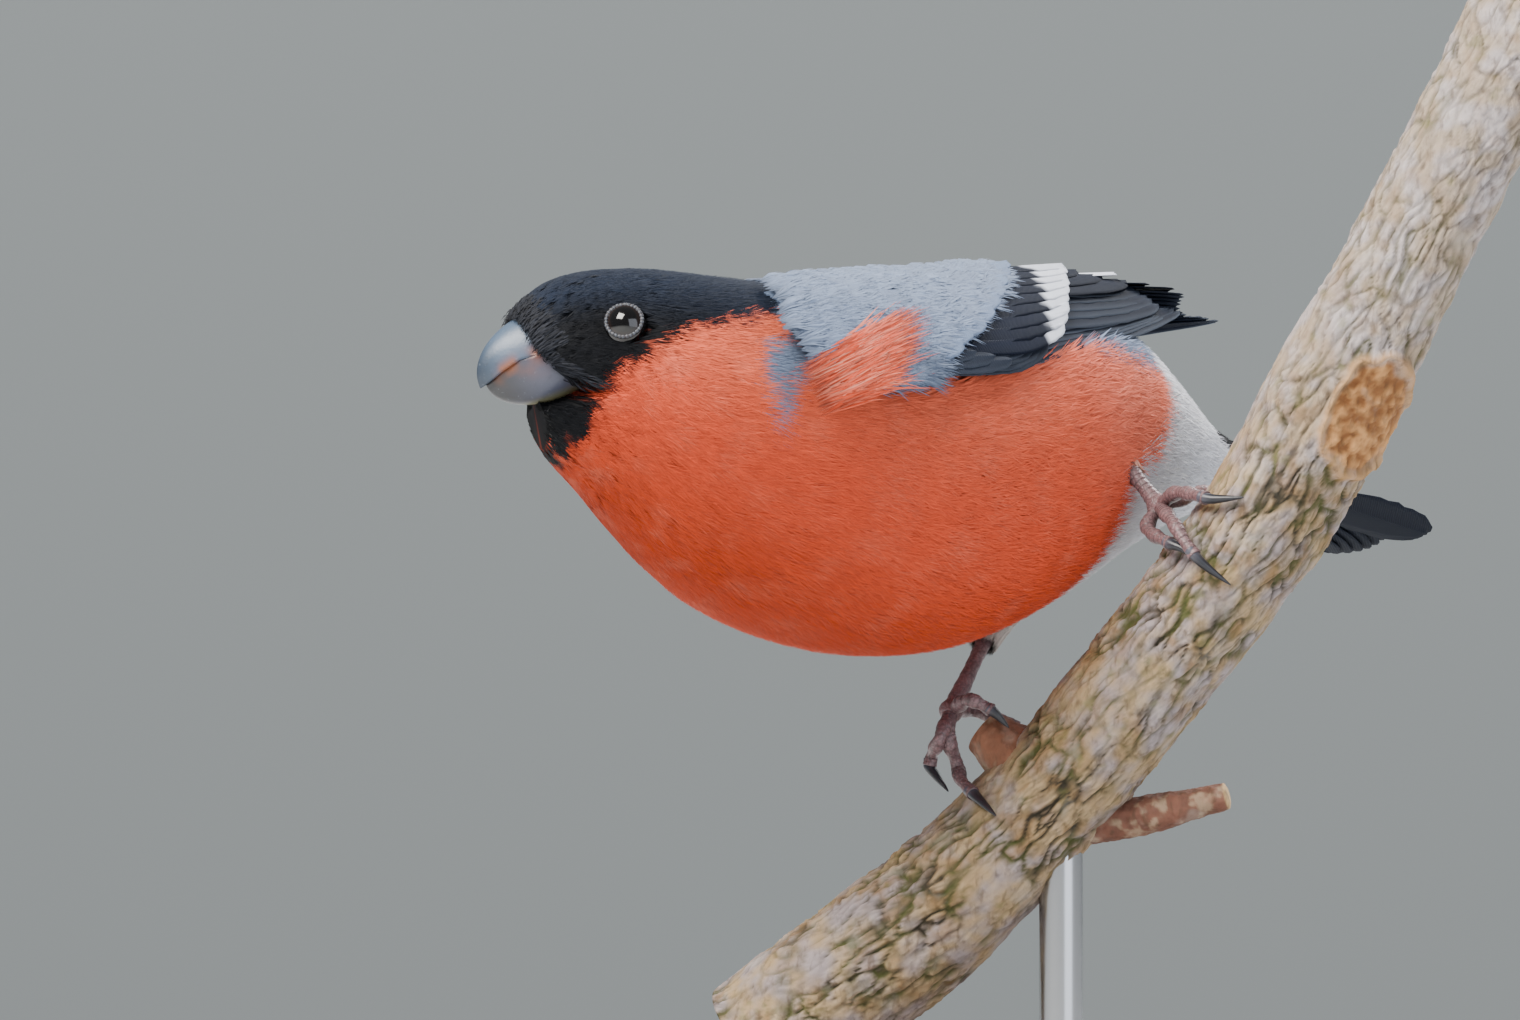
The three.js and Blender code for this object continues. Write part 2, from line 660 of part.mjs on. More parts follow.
/** Toes as seen from the side: points of x, z and distance from the bark; far ones run behind the perch. */
const TOES = {
  left: {
    inner: [[19.2, 88.4, 2.2], [21.6, 86.6, 1.4], [23.4, 85.8, 1.0], [24.8, 84.4, 0.5]],
    middle: [[22.4, 88.6, 1.7], [23.7, 86.4, 1.5], [25.3, 84.4, 1.2], [28.9, 81.6, 0.5]],
    outer: [[22.6, 92.5, 1.9], [25.4, 92.1, 1.5], [26.6, 91.8, 1.2], [30.4, 92, 0.5]],
    hind: [[22.6, 91.6, 2, 1], [25.8, 92.6, 1.4, 1], [28.6, 92.4, 1.2, 1], [31.6, 90.8, 0.5, 1]],
  },
  right: {
    inner: [[-1.9, 67.9, 2.6], [0.2, 67, 1.9], [1.3, 66.2, 1.6], [2.8, 64.6, 0.6]],
    middle: [[-4.4, 63.3, 2.2], [-3.3, 60.2, 1.5], [-2.9, 58.4, 1.2], [1.2, 54.2, 0.5]],
    outer: [[-5.4, 63.4, 4], [-6.4, 61, 3.8], [-6.6, 60, 3.6], [-4.4, 57, 1.4]],
    hind: [[-1.6, 66.6, 2.4, 1], [1.8, 65.6, 1.4, 1], [4, 64.4, 1.2, 1], [6.6, 61.6, 0.5, 1]],
  },
};
const CLAW_SHARE = 0.7; // where along a toe's way the claw starts

const at = (place) => new THREE.Vector3(...place);

/** The way of a toe, from inside the foot's pad to the claw's tip. */
function toeWay(side, name) {
  return new THREE.CatmullRomCurve3([at(FEET[side]), ...TOES[side][name].map((p) => onBark(...p))]);
}

/** Points of part of a way. */
function stretch(curve, from, to, count) {
  return Array.from({ length: count }, (_, i) => curve.getPointAt(from + ((to - from) * i) / (count - 1)));
}

function footSolid(side, growth = 0) {
  const pad = new THREE.SphereGeometry(PAD_RADIUS + growth, 10, 7).translate(...FEET[side]);
  const toes = Object.keys(TOES[side]).map((name) => {
    const way = toeWay(side, name);
    const end = CLAW_SHARE - GAP / way.getLength();
    const knuckle = (t) => 0.94 - 0.2 * t + 0.09 * Math.cos(t * 3 * 2 * Math.PI) + growth;
    return toSolid(tube(stretch(way, 0, end, 9), knuckle, 8, 6));
  });
  return unite([toSolid(pad), ...toes]);
}

function clawSolid(side, name) {
  const way = toeWay(side, name);
  return toSolid(tube(stretch(way, CLAW_SHARE, 1, 6), (t) => 0.74 * (1 - t) ** 0.7 + 0.1, 5, 6));
}

/** The bare leg from the feathered cuff to the foot, with a gap at each end. */
function legSolid(side) {
  const ankle = at(ANKLES[side]);
  const foot = at(FEET[side]);
  const way = new THREE.LineCurve3(ankle, foot);
  const gapShare = GAP / way.getLength();
  return toSolid(tube(
    stretch(way, CUFF_END[side] + gapShare, 1 - 0.2 * gapShare, 5),
    (t) => TARSUS_RADIUS + 0.12 * Math.cos(2 * Math.PI * t), 6, 10,
  ));
}

/** The feathered cuff where the leg leaves the plumage. */
function cuffSolid(side) {
  const ankle = at(ANKLES[side]);
  const end = ankle.clone().lerp(at(FEET[side]), CUFF_END[side]);
  const wide = side === 'left' ? 3.2 : 4.2;
  return toSolid(tube([at(HIDDEN[side]), ankle, end], (t) => wide - (wide - CUFF_RADIUS) * t ** 0.8, 8, 12));
}

// Stand

function buildBase() {
  const outline = new THREE.Shape();
  const [x, y, r] = [BASE_LENGTH / 2, BASE_WIDTH / 2, BASE_CORNER];
  outline.moveTo(-x + r, -y).lineTo(x - r, -y);
  outline.absarc(x - r, -y + r, r, -Math.PI / 2, 0).lineTo(x, y - r);
  outline.absarc(x - r, y - r, r, 0, Math.PI / 2).lineTo(-x + r, y);
  outline.absarc(-x + r, y - r, r, Math.PI / 2, Math.PI).lineTo(-x, -y + r);
  outline.absarc(-x + r, -y + r, r, Math.PI, 1.5 * Math.PI);
  const bevel = 1.2;
  const slab = new THREE.ExtrudeGeometry(outline, {
    depth: BASE_HEIGHT - bevel, bevelThickness: bevel, bevelSize: bevel, bevelOffset: -bevel,
    bevelSegments: 1, curveSegments: 7,
  });
  const solid = toSolid(slab);
  const floor = new THREE.BoxGeometry(2 * BASE_LENGTH, 2 * BASE_WIDTH, 20).translate(0, 0, 10);
  return toGeometry(solid.intersect(toSolid(floor)));
}

/** The rod from the base up into the branch's underside, cut one gap short of the bark. */
function buildRod(perchRoom) {
  const rod = new THREE.CylinderGeometry(ROD_RADIUS, ROD_RADIUS, 60, 16).rotateX(Math.PI / 2);
  rod.translate(ROD_X, perchY(ROD_X), BASE_HEIGHT + GAP + 30);
  const cut = toSolid(rod).subtract(perchRoom);
  const pieces = cut.decompose().sort((a, b) => a.boundingBox().min[2] - b.boundingBox().min[2]);
  return toGeometry(pieces[0]);
}

function buildCollar() {
  const profile = [
    [ROD_RADIUS + GAP, 0], [COLLAR_RADIUS, 0], [COLLAR_RADIUS, COLLAR_HEIGHT - 1.4],
    [COLLAR_RADIUS - 1.4, COLLAR_HEIGHT], [ROD_RADIUS + GAP, COLLAR_HEIGHT], [ROD_RADIUS + GAP, 0],
  ].map(([x, y]) => new THREE.Vector2(x, y));
  const ring = new THREE.LatheGeometry(profile, 16).rotateX(Math.PI / 2);
  return toGeometry(toSolid(ring.translate(ROD_X, perchY(ROD_X), BASE_HEIGHT + GAP)));
}

// Assembly

const MATERIALS = {
  salmon: [0xd9583c, 0.85], grey: [0x8c98a8, 0.85], black: [0x14161c, 0.6], white: [0xe8e8ea, 0.9],
  bill: [0x4c4f55, 0.4], eye: [0x0c0806, 0.08], leg: [0x6e5048, 0.6], claw: [0x2c3038, 0.35],
  flight: [0x181b26, 0.45], bark: [0xb8a98e, 0.9], base: [0x4a3424, 0.5], steel: [0x9a9ca0, 0.3, 1],
};

function material(name) {
  const [color, roughness, metalness = 0] = MATERIALS[name];
  return new THREE.MeshStandardMaterial({ color, roughness, metalness });
}

function piece(name, geometry, finish) {
  const mesh = new THREE.Mesh(geometry, material(finish));
  mesh.name = name;
  return mesh;
}

const model = new THREE.Group();
const bird = new THREE.Group();
bird.position.copy(BODY_PLACE);
bird.rotation.z = BODY_YAW;
bird.updateMatrix();
model.add(bird);
const intoBird = bird.matrix.clone().invert();

const bill = buildBill();
const leftWing = wingSolid();
const leftRoom = wingRoom();
const farPlace = farWingMatrix();
const spineEnd = SECTIONS[SECTIONS.length - 1][0];
const tail = tailSolid().subtract(bodySolid(0, spineEnd, 34, GAP));
const bareBody = bodySolid(0, spineEnd, 34)
  .subtract(leftRoom)
  .subtract(moved(leftRoom, farPlace));
const headWithLids = unite([bareBody, lids(1), lids(-1)])
  .subtract(bill.room)
  .subtract(eyeball(1, GAP))
  .subtract(eyeball(-1, GAP));
const parted = [HEAD_CUT, NECK_CUT, RUMP_CUT].reduce((body, cut) => body.subtract(cutAcross(cut)), headWithLids);
const bodyNames = ['rump', 'torso', 'neck', 'head'];
const bodyFinish = ['white', 'salmon', 'grey', 'black'];
parted.decompose()
  .sort((a, b) => b.volume() - a.volume())
  .slice(0, bodyNames.length)
  .sort((a, b) => a.boundingBox().min[0] - b.boundingBox().min[0])
  .forEach((solid, i) => bird.add(piece(bodyNames[i], toGeometry(solid), bodyFinish[i])));
bird.add(piece('bill_upper', bill.upper, 'bill'), piece('bill_lower', bill.lower, 'bill'));
bird.add(piece('eye_left', toGeometry(eyeball(1)), 'eye'), piece('eye_right', toGeometry(eyeball(-1)), 'eye'));
bird.add(piece('wing_left', toGeometry(leftWing), 'flight'));
const farWing = moved(leftWing, farPlace).subtract(moved(leftWing, new THREE.Matrix4()));
bird.add(piece('wing_right', toGeometry(farWing), 'flight'));
bird.add(piece('tail', toGeometry(tail), 'flight'));

const barkRoom = perchSolid(GAP);
const plumageRoom = moved(bodySolid(0, spineEnd, 34, GAP), bird.matrix);
for (const side of ['left', 'right']) {
  model.add(piece(`thigh_${side}`, toGeometry(cuffSolid(side).subtract(plumageRoom)), 'grey'));
  const foot = footSolid(side).subtract(barkRoom);
  const footRoom = footSolid(side, GAP);
  const claws = Object.keys(TOES[side]).map((name) => [name, clawSolid(side, name)]);
  model.add(piece(`foot_${side}`, toGeometry(foot), 'leg'));
  model.add(piece(`leg_${side}`, toGeometry(legSolid(side).subtract(plumageRoom).subtract(footRoom)), 'leg'));
  claws.forEach(([name, claw]) => {
    model.add(piece(`claw_${side}_${name}`, toGeometry(claw.subtract(footRoom).subtract(barkRoom)), 'claw'));
  });
}

model.add(piece('perch', toGeometry(perchSolid()), 'bark'));
model.add(piece('stand_base', buildBase(), 'base'));
model.add(piece('stand_rod', buildRod(perchForm(GAP, 22, 14)), 'steel'));
model.add(piece('stand_collar', buildCollar(), 'steel'));

export default model;
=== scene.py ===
"""A male bullfinch on a cut length of branch, dressed over its CAD nodes.

Lengths are in millimetres until a mesh is made, and the bird's own frame has u forward,
v to its left and z up. Every surface is worked out as whole numpy arrays.
"""
import logging
import math
from dataclasses import dataclass, field
from enum import Enum
from typing import Callable, Optional, Sequence, Union

import bpy
import numpy as np
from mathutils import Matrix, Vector


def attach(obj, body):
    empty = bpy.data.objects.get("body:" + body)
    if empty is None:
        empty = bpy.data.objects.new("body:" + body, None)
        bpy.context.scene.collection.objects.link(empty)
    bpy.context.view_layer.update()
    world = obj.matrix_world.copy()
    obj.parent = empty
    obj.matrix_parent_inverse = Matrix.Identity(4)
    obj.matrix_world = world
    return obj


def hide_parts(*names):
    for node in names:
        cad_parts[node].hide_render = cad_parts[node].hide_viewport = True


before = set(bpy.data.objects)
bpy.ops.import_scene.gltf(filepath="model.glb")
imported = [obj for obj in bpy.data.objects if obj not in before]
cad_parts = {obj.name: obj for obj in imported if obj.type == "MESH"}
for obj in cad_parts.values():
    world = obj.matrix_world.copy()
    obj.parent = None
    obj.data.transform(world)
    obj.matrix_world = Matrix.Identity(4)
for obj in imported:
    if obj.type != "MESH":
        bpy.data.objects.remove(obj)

logging.basicConfig(level=logging.INFO, format="%(message)s")
LOG = logging.getLogger("bullfinch")
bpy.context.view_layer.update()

MM = 0.001
DEG = math.pi / 180
BAKE_MAP = "OFBake"
PATCH = 0.003
HASH_PRIMES = np.array([73856093, 19349663, 83492791], np.uint64)
Array = np.ndarray
Rgb = tuple[float, float, float]


def linear(code: int) -> Array:
    """The linear red, green and blue of a display colour written as one hex number."""
    parts = np.array([(code >> 16) & 255, (code >> 8) & 255, code & 255]) / 255
    return np.where(parts <= 0.04045, parts / 12.92, ((parts + 0.055) / 1.055) ** 2.4)


def ease(x: Array, low: float, high: float) -> Array:
    """Zero below low, one above high, and a smooth step 3t^2 - 2t^3 between."""
    t = np.clip((np.asarray(x, float) - low) / (high - low), 0, 1)
    return t * t * (3 - 2 * t)


def unit(v: Array) -> Array:
    """Vectors scaled to length one."""
    return v / np.maximum(np.linalg.norm(v, axis=-1, keepdims=True), 1e-9)


def circle(count: int) -> Array:
    """Angles spaced evenly round a full turn."""
    return np.linspace(0, 2 * np.pi, count, endpoint=False)


def grid(rows: Array, columns: Array) -> tuple[Array, Array]:
    """Both values at each crossing of rows and columns."""
    return tuple(np.meshgrid(rows, columns, indexing="ij"))


def paint(colour: Array, code: int, share: Array) -> Array:
    """A colour mixed with a display colour by a share for each point."""
    share = np.asarray(share)[..., None]
    return colour * (1 - share) + linear(code) * share


def along(table: Array, key: Array, column: int) -> Array:
    """A table's column at each key, by a cubic through its rows.

    Args:
        table: rows sorted by their first column.
        key: where to read it.
        column: which column is read.

    Returns:
        The smooth-step blend of two rows plus t(1-t) times the mean slopes at both ends.
    """
    key = np.asarray(key, float)
    last = len(table) - 1
    row = np.clip(np.searchsorted(table[:, 0], key, side="left") - 1, 0, last - 1)
    keys, values = table[:, 0], table[:, column]
    order = np.arange(last + 1)
    before, after = np.maximum(order - 1, 0), np.minimum(order + 1, last)
    slope = (values[after] - values[before]) / (keys[after] - keys[before])
    span = keys[row + 1] - keys[row]
    t = (key - keys[row]) / span
    blend = t * t * (3 - 2 * t)
    bend = span * t * (1 - t) * ((1 - t) * slope[row] - t * slope[row + 1])
    return values[row] + (values[row + 1] - values[row]) * blend + bend


def curve(points: Array, shares: Array) -> Array:
    """Points of a smooth curve at shares of its length, by the table's cubic over chord lengths."""
    points = np.asarray(points, float)
    chords = np.concatenate([[0], np.cumsum(np.linalg.norm(np.diff(points, axis=0), axis=1))])
    table = np.column_stack([chords, points])
    key = np.asarray(shares, float) * chords[-1]
    return np.stack([along(table, key, c) for c in range(1, points.shape[1] + 1)], -1)


def noise(points: Array, seed: int = 0) -> Array:
    """Smooth value noise from -1 to 1: hashed lattice values blended by smooth steps along each axis."""
    cell = np.floor(points).astype(np.int64)
    t = points - cell
    t = t * t * (3 - 2 * t)
    total = np.zeros(points.shape[:-1])
    for corner in range(8):
        step = np.array([(corner >> k) & 1 for k in range(3)])
        c = (cell + step).astype(np.uint64)
        h = np.bitwise_xor.reduce(c * HASH_PRIMES, axis=-1)
        h = (h + np.uint64(seed * 7919 + 13)) * np.uint64(2654435761) % np.uint64(4294967291)
        h = (h * np.uint64(40503) ^ (h >> np.uint64(13))) % np.uint64(65521)
        weight = np.prod(np.where(step == 1, t, 1 - t), axis=-1)
        total += weight * (h.astype(float) / 65521)
    return total * 2 - 1


def layered(points: Array, seed: int = 0, octaves: int = 3) -> Array:
    """Noise summed over octaves, each twice as fine and half as strong."""
    total = sum(noise(points * 2**k, seed + k) * 0.5**k for k in range(octaves))
    return total / (2 - 0.5 ** (octaves - 1))


# Meshes


def build(
    name: str,
    points: Array,
    faces: Array,
    tint: Optional[Array] = None,
    uv: Optional[Array] = None,
    normals: Optional[Array] = None,
    extra: Optional[dict[str, Array]] = None,
) -> bpy.types.Object:
    """Makes one mesh object from arrays.

    Args:
        name: the piece's name.
        points: its corners in the model's millimetres.
        faces: rows of three or four corner numbers, all of one width.
        tint: linear colour of each corner, kept as the colour attribute "tint".
        uv: flat place of each corner on the bake map.
        normals: shading normal of each corner, where it isn't the face's own.
        extra: more attributes, one number for each corner.

    Returns:
        The object, linked to the scene.
    """
    mesh = bpy.data.meshes.new(name)
    points, faces = np.asarray(points, np.float32).reshape(-1, 3), np.asarray(faces, np.int32)
    count, width = faces.shape
    mesh.vertices.add(len(points))
    mesh.vertices.foreach_set("co", (points * MM).ravel())
    mesh.loops.add(count * width)
    mesh.loops.foreach_set("vertex_index", faces.ravel())
    mesh.polygons.add(count)
    mesh.polygons.foreach_set("loop_start", np.arange(0, count * width, width, dtype=np.int32))
    mesh.polygons.foreach_set("loop_total", np.full(count, width, np.int32))
    mesh.update(calc_edges=True)
    mesh.shade_smooth()
    if tint is not None:
        layer = mesh.color_attributes.new("tint", "FLOAT_COLOR", "POINT")
        full = np.ones((len(points), 4), np.float32)
        full[:, :3] = np.asarray(tint).reshape(-1, 3)
        layer.data.foreach_set("color", full.ravel())
    for key, values in (extra or {}).items():
        layer = mesh.attributes.new(key, "FLOAT", "POINT")
        layer.data.foreach_set("value", np.asarray(values, np.float32).ravel())
    if uv is not None:
        layer = mesh.uv_layers.new(name=BAKE_MAP)
        layer.data.foreach_set("uv", np.asarray(uv, np.float32).reshape(-1, 2)[faces.ravel()].ravel())
    if normals is not None:
        mesh.normals_split_custom_set_from_vertices(np.asarray(normals, float).reshape(-1, 3).tolist())
    thing = bpy.data.objects.new(name, mesh)
    bpy.context.scene.collection.objects.link(thing)
    return thing


def grid_faces(rows: int, columns: int, around: bool) -> Array:
    """Quads of a grid of rows and columns, closed round its columns where around is true."""
    i, j = grid(np.arange(rows - 1), np.arange(columns if around else columns - 1))
    k = (j + 1) % columns
    quads = np.stack([i * columns + j, i * columns + k, (i + 1) * columns + k, (i + 1) * columns + j], -1)
    return quads.reshape(-1, 4)


def signed_volume(points: Array, faces: Array) -> float:
    """Volume inside a closed mesh, negative where its faces point inwards."""
    total = 0.0
    for k in range(1, faces.shape[1] - 1):
        a, b, c = points[faces[:, 0]], points[faces[:, k]], points[faces[:, k + 1]]
        total += float(np.einsum("ij,ij->i", a, np.cross(b, c)).sum())
    return total / 6


@dataclass
class Shell:
    """Corners and faces of one closed surface, with what each corner carries."""

    points: Array
    faces: Array
    marks: dict[str, Array] = field(default_factory=dict)

    def outward(self) -> "Shell":
        """The same shell with its faces pointing outwards."""
        if signed_volume(self.points - self.points.mean(0), self.faces) < 0:
            self.faces = self.faces[:, ::-1]
        return self


def tube(rings: Array, marks: Optional[dict[str, Array]] = None) -> Shell:
    """Closes a stack of rings: quads between them, and a fan to a middle point at each end.

    Args:
        rings: rows of ring points, (rows, columns, 3).
        marks: values of each ring point, (rows, columns).

    Returns:
        The closed shell, all in triangles: each quad split in two and a fan at each end.
    """
    rows, columns = rings.shape[:2]
    ends = np.stack([rings[0].mean(0), rings[-1].mean(0)])
    points = np.concatenate([rings.reshape(-1, 3), ends])
    j = np.arange(columns)
    k = (j + 1) % columns
    first, last = rows * columns, (rows - 1) * columns
    caps = [np.stack([np.full(columns, first), k, j], -1)]
    caps.append(np.stack([np.full(columns, first + 1), last + j, last + k], -1))
    quads = grid_faces(rows, columns, True)
    triangles = np.concatenate([quads[:, [0, 1, 2]], quads[:, [0, 2, 3]], *caps])
    kept = {}
    for key, value in (marks or {}).items():
        flat = np.asarray(value).reshape(rows * columns, -1)
        edge = flat.reshape(rows, columns, -1)
        kept[key] = np.concatenate([flat, edge[0].mean(0)[None], edge[-1].mean(0)[None]])
    return Shell(points, triangles, kept).outward()


def plate(top: Array, bottom: Array, marks: Optional[dict[str, Array]] = None) -> Shell:
    """A closed plate between two grids of points, (rows, columns, 3), with the same marks on both."""
    rows, columns = top.shape[:2]
    count = rows * columns
    points = np.concatenate([top.reshape(-1, 3), bottom.reshape(-1, 3)])
    upper = grid_faces(rows, columns, False)
    lower = upper[:, ::-1] + count
    index = np.arange(count).reshape(rows, columns)
    rim = np.concatenate([index[0, :-1], index[:-1, -1], index[-1, :0:-1], index[:0:-1, 0]])
    after = np.roll(rim, -1)
    wall = np.stack([after, rim, rim + count, after + count], -1)
    kept = {k: np.concatenate([np.asarray(v).reshape(count, -1)] * 2) for k, v in (marks or {}).items()}
    return Shell(points, np.concatenate([upper, lower, wall]), kept).outward()


def joined(shells: Sequence[Shell]) -> Shell:
    """Several shells of one face width as one."""
    offsets = np.cumsum([0] + [len(s.points) for s in shells[:-1]])
    marks = {k: np.concatenate([s.marks[k] for s in shells]) for k in shells[0].marks}
    faces = np.concatenate([s.faces + o for s, o in zip(shells, offsets)])
    return Shell(np.concatenate([s.points for s in shells]), faces, marks)


def sweep(points: Array, radius: Callable[[Array, Array], Array], steps: int, sides: int) -> Shell:
    """A round profile carried along a smooth curve.

    Args:
        points: points of the curve.
        radius: radius at a share of the way and an angle round it.
        steps: rings along it.
        sides: points round it.

    Returns:
        The closed shell, with marks "share" and "turn".
    """
    t = np.linspace(0, 1, steps)
    centre = curve(points, t)
    way = unit(np.gradient(centre, axis=0))
    side = np.cross(np.array([0.0, 0.0, 1.0]), way)
    side = unit(np.where(np.linalg.norm(side, axis=1, keepdims=True) < 0.15, [[0.0, 1.0, 0.0]], side))
    over = unit(np.cross(way, side))
    share, angle = grid(t, circle(sides))
    ring = np.cos(angle)[..., None] * side[:, None] + np.sin(angle)[..., None] * over[:, None]
    rings = centre[:, None] + radius(share, angle)[..., None] * ring
    return tube(rings, {"share": share, "turn": angle})


# Shader maths


class Signal:
    """A shader socket that takes part in Python arithmetic."""

    def __init__(self, graph: "Graph", socket: bpy.types.NodeSocket) -> None:
        """Keeps the socket and the graph that new nodes are put in."""
        self.graph, self.socket = graph, socket

    def _join(self, operation: str, first: "Term", second: "Term") -> "Signal":
        """A Math node over two terms."""
        return self.graph.node("ShaderNodeMath", {"operation": operation}, {0: first, 1: second})

    def __add__(self, other: "Term") -> "Signal":
        """The sum."""
        return self._join("ADD", self, other)

    def __rsub__(self, other: "Term") -> "Signal":
        """The difference from a number."""
        return self._join("SUBTRACT", other, self)

    def __mul__(self, other: "Term") -> "Signal":
        """The product."""
        return self._join("MULTIPLY", self, other)

    def between(self, low: float, high: float) -> "Signal":
        """Zero below low, one above high, smooth between."""
        inputs = {"Value": self, "From Min": low, "From Max": high}
        return self.graph.node("ShaderNodeMapRange", {"interpolation_type": "SMOOTHSTEP"}, inputs)


Term = Union[Signal, float]


class Graph:
    """One material's nodes, ending in a Principled shader."""

    def __init__(self, name: str, **constants: float) -> None:
        """Makes the material and sets numbers that are the same all over on the shader's sockets."""
        self.material = bpy.data.materials.new(name)
        self.material.use_nodes = True
        self.tree = self.material.node_tree
        self.shader = self.tree.nodes["Principled BSDF"]
        for key, value in constants.items():
            self.shader.inputs[key.replace("_", " ").title().replace("Ior", "IOR")].default_value = value

    def node(self, kind: str, settings: dict[str, object], inputs: dict[object, object],
             out: int = 0) -> Signal:
        """Adds a node.

        Args:
            kind: the node's type.
            settings: its own properties, set first.
            inputs: values or signals of its sockets, by name or number.
            out: number of the socket to return.

        Returns:
            The chosen output as a signal.
        """
        made = self.tree.nodes.new(kind)
        for key, value in settings.items():
            setattr(made, key, value)
        for key, value in inputs.items():
            self._feed(made.inputs[key], value)
        return Signal(self, made.outputs[out])

    def _feed(self, socket: bpy.types.NodeSocket, value: object) -> None:
        """Links a signal or sets a value."""
        if isinstance(value, Signal):
            self.tree.links.new(value.socket, socket)
        elif isinstance(value, (tuple, list, Array)) and len(value) == 3 and socket.type == "RGBA":
            socket.default_value = (*value, 1.0)
        else:
            socket.default_value = value

    def mix(self, share: Term, first: object, second: object, blend: str = "MIX") -> Signal:
        """Two colours mixed by a share."""
        settings = {"data_type": "RGBA", "blend_type": blend}
        return self.node("ShaderNodeMix", settings, {0: share, 6: first, 7: second}, 2)

    def attribute(self, name: str, colour: bool = False) -> Signal:
        """An attribute of the mesh, as a number or as a colour."""
        return self.node("ShaderNodeAttribute", {"attribute_name": name}, {}, 0 if colour else 2)

    def place(self, scale: Rgb = (1.0, 1.0, 1.0)) -> Signal:
        """The object's coordinates, stretched."""
        where = self.node("ShaderNodeTexCoord", {}, {}, 3)
        return self.node("ShaderNodeVectorMath", {"operation": "MULTIPLY"}, {0: where, 1: scale})

    def speckle(self, scale: float, detail: float = 2.0, stretch: Rgb = (1.0, 1.0, 1.0)) -> Signal:
        """Noise over the object's coordinates."""
        inputs = {"Vector": self.place(stretch), "Scale": scale, "Detail": detail}
        return self.node("ShaderNodeTexNoise", {}, inputs)

    def bump(self, height: Term, distance: float, strength: float = 1.0) -> None:
        """Feeds a height to the shader's normal."""
        inputs = {"Height": height, "Distance": distance, "Strength": strength}
        self.set("Normal", self.node("ShaderNodeBump", {}, inputs))

    def set(self, socket: str, value: object) -> None:
        """Feeds one of the shader's sockets."""
        self._feed(self.shader.inputs[socket], value)


class Part(Enum):
    """The record's material slots."""

    BREAST = "breast_feathers"
    MANTLE = "mantle_feathers"
    BLACK = "black_feathers"
    WHITE = "white_feathers"
    FLIGHT = "flight_feathers"
    BILL = "bill"
    EYE = "eye"
    LEG = "leg_skin"
    CLAW = "claw"
    BARK = "bark"
    BASE = "base_wood"
    STEEL = "steel"


@dataclass(frozen=True)
class Plumage:
    """Soft body feathers, coloured by the tint of each corner."""

    name: str
    roughness: float = 0.72
    sheen: float = 0.04

    def material(self) -> bpy.types.Material:
        """The finish: the tint, slightly mottled."""
        g = Graph(self.name, roughness=self.roughness, sheen_weight=self.sheen, specular_ior_level=0.2)
        mottle = g.speckle(900, 2)
        g.set("Base Color", g.mix(mottle * 0.4, g.attribute("tint", True), (0.45, 0.4, 0.4), "MULTIPLY"))
        return g.material


@dataclass(frozen=True)
class VaneFinish:
    """Firm flight feathers: tinted, glossy, with fine barbs along each vane."""

    name: str

    def material(self) -> bpy.types.Material:
        """The finish: barbs slant from the shaft, as a bump and a faint change of tone."""
        g = Graph(self.name, roughness=0.72, specular_ior_level=0.06)
        barbs = g.node("ShaderNodeTexWave", {"wave_type": "BANDS", "bands_direction": "X"},
                       {"Vector": g.node("ShaderNodeAttribute", {"attribute_name": "barbs"}, {}, 1),
                        "Scale": 1.0, "Distortion": 0.6, "Detail": 1.0})
        g.set("Base Color", g.mix(barbs * 0.035, g.attribute("tint", True), linear(0x8FA0C4)))
        g.bump(barbs, 0.00006, 0.6)
        return g.material


@dataclass(frozen=True)
class Horn:
    """Bill and claws."""

    name: str
    roughness: float
    coat: float
    flecks: float = 0.2

    def material(self) -> bpy.types.Material:
        """The finish: the tint with fine pores and pale flecks."""
        g = Graph(self.name, roughness=self.roughness, coat_weight=self.coat, coat_roughness=0.3)
        pores = g.speckle(1400, 3)
        flecks = g.speckle(2600, 3).between(0.62, 0.9)
        base = g.mix(flecks * self.flecks, g.attribute("tint", True), linear(0xC9D2DE))
        g.set("Base Color", g.mix(pores.between(0.55, 0.8) * 0.4, base, linear(0x30353E)))
        g.bump(pores, 0.00008, 0.5)
        return g.material


@dataclass(frozen=True)
class LegSkin:
    """Scaly skin of legs, toes and eye rings."""

    name: str

    def material(self) -> bpy.types.Material:
        """The finish: the tint with small scales."""
        g = Graph(self.name, roughness=0.5, coat_weight=0.15, coat_roughness=0.4)
        cells = g.node("ShaderNodeTexVoronoi", {"feature": "DISTANCE_TO_EDGE"},
                       {"Vector": g.place(), "Scale": 1700})
        seams = 1 - cells.between(0.0, 0.12)
        g.set("Base Color", g.mix(seams * 0.55, g.attribute("tint", True), linear(0x2E2426)))
        g.bump(cells.between(0.0, 0.25), 0.00008, 0.6)
        return g.material


@dataclass(frozen=True)
class Eyeball:
    """A dark glossy eye."""

    name: str

    def material(self) -> bpy.types.Material:
        """The finish: tint under a clear wet coat."""
        g = Graph(self.name, roughness=0.12, coat_weight=0.7, coat_roughness=0.02, specular_ior_level=0.3)
        g.set("Base Color", g.attribute("tint", True))
        return g.material


@dataclass(frozen=True)
class Bark:
    """Weathered bark: the tint, with fine grain along the branch."""

    name: str

    def material(self) -> bpy.types.Material:
        """The finish: fine cracks and lichen dust over the tint."""
        g = Graph(self.name, roughness=0.85)
        grain = g.speckle(1100, 4, (1.0, 1.0, 0.45))
        dust = g.speckle(260, 3)
        base = g.mix(grain.between(0.5, 0.72) * 0.5, g.attribute("tint", True), linear(0x3E2F1C))
        g.set("Base Color", g.mix(dust.between(0.55, 0.75) * 0.2, base, linear(0xC9C0B2)))
        g.bump(grain + dust * 0.6, 0.0005, 0.7)
        return g.material


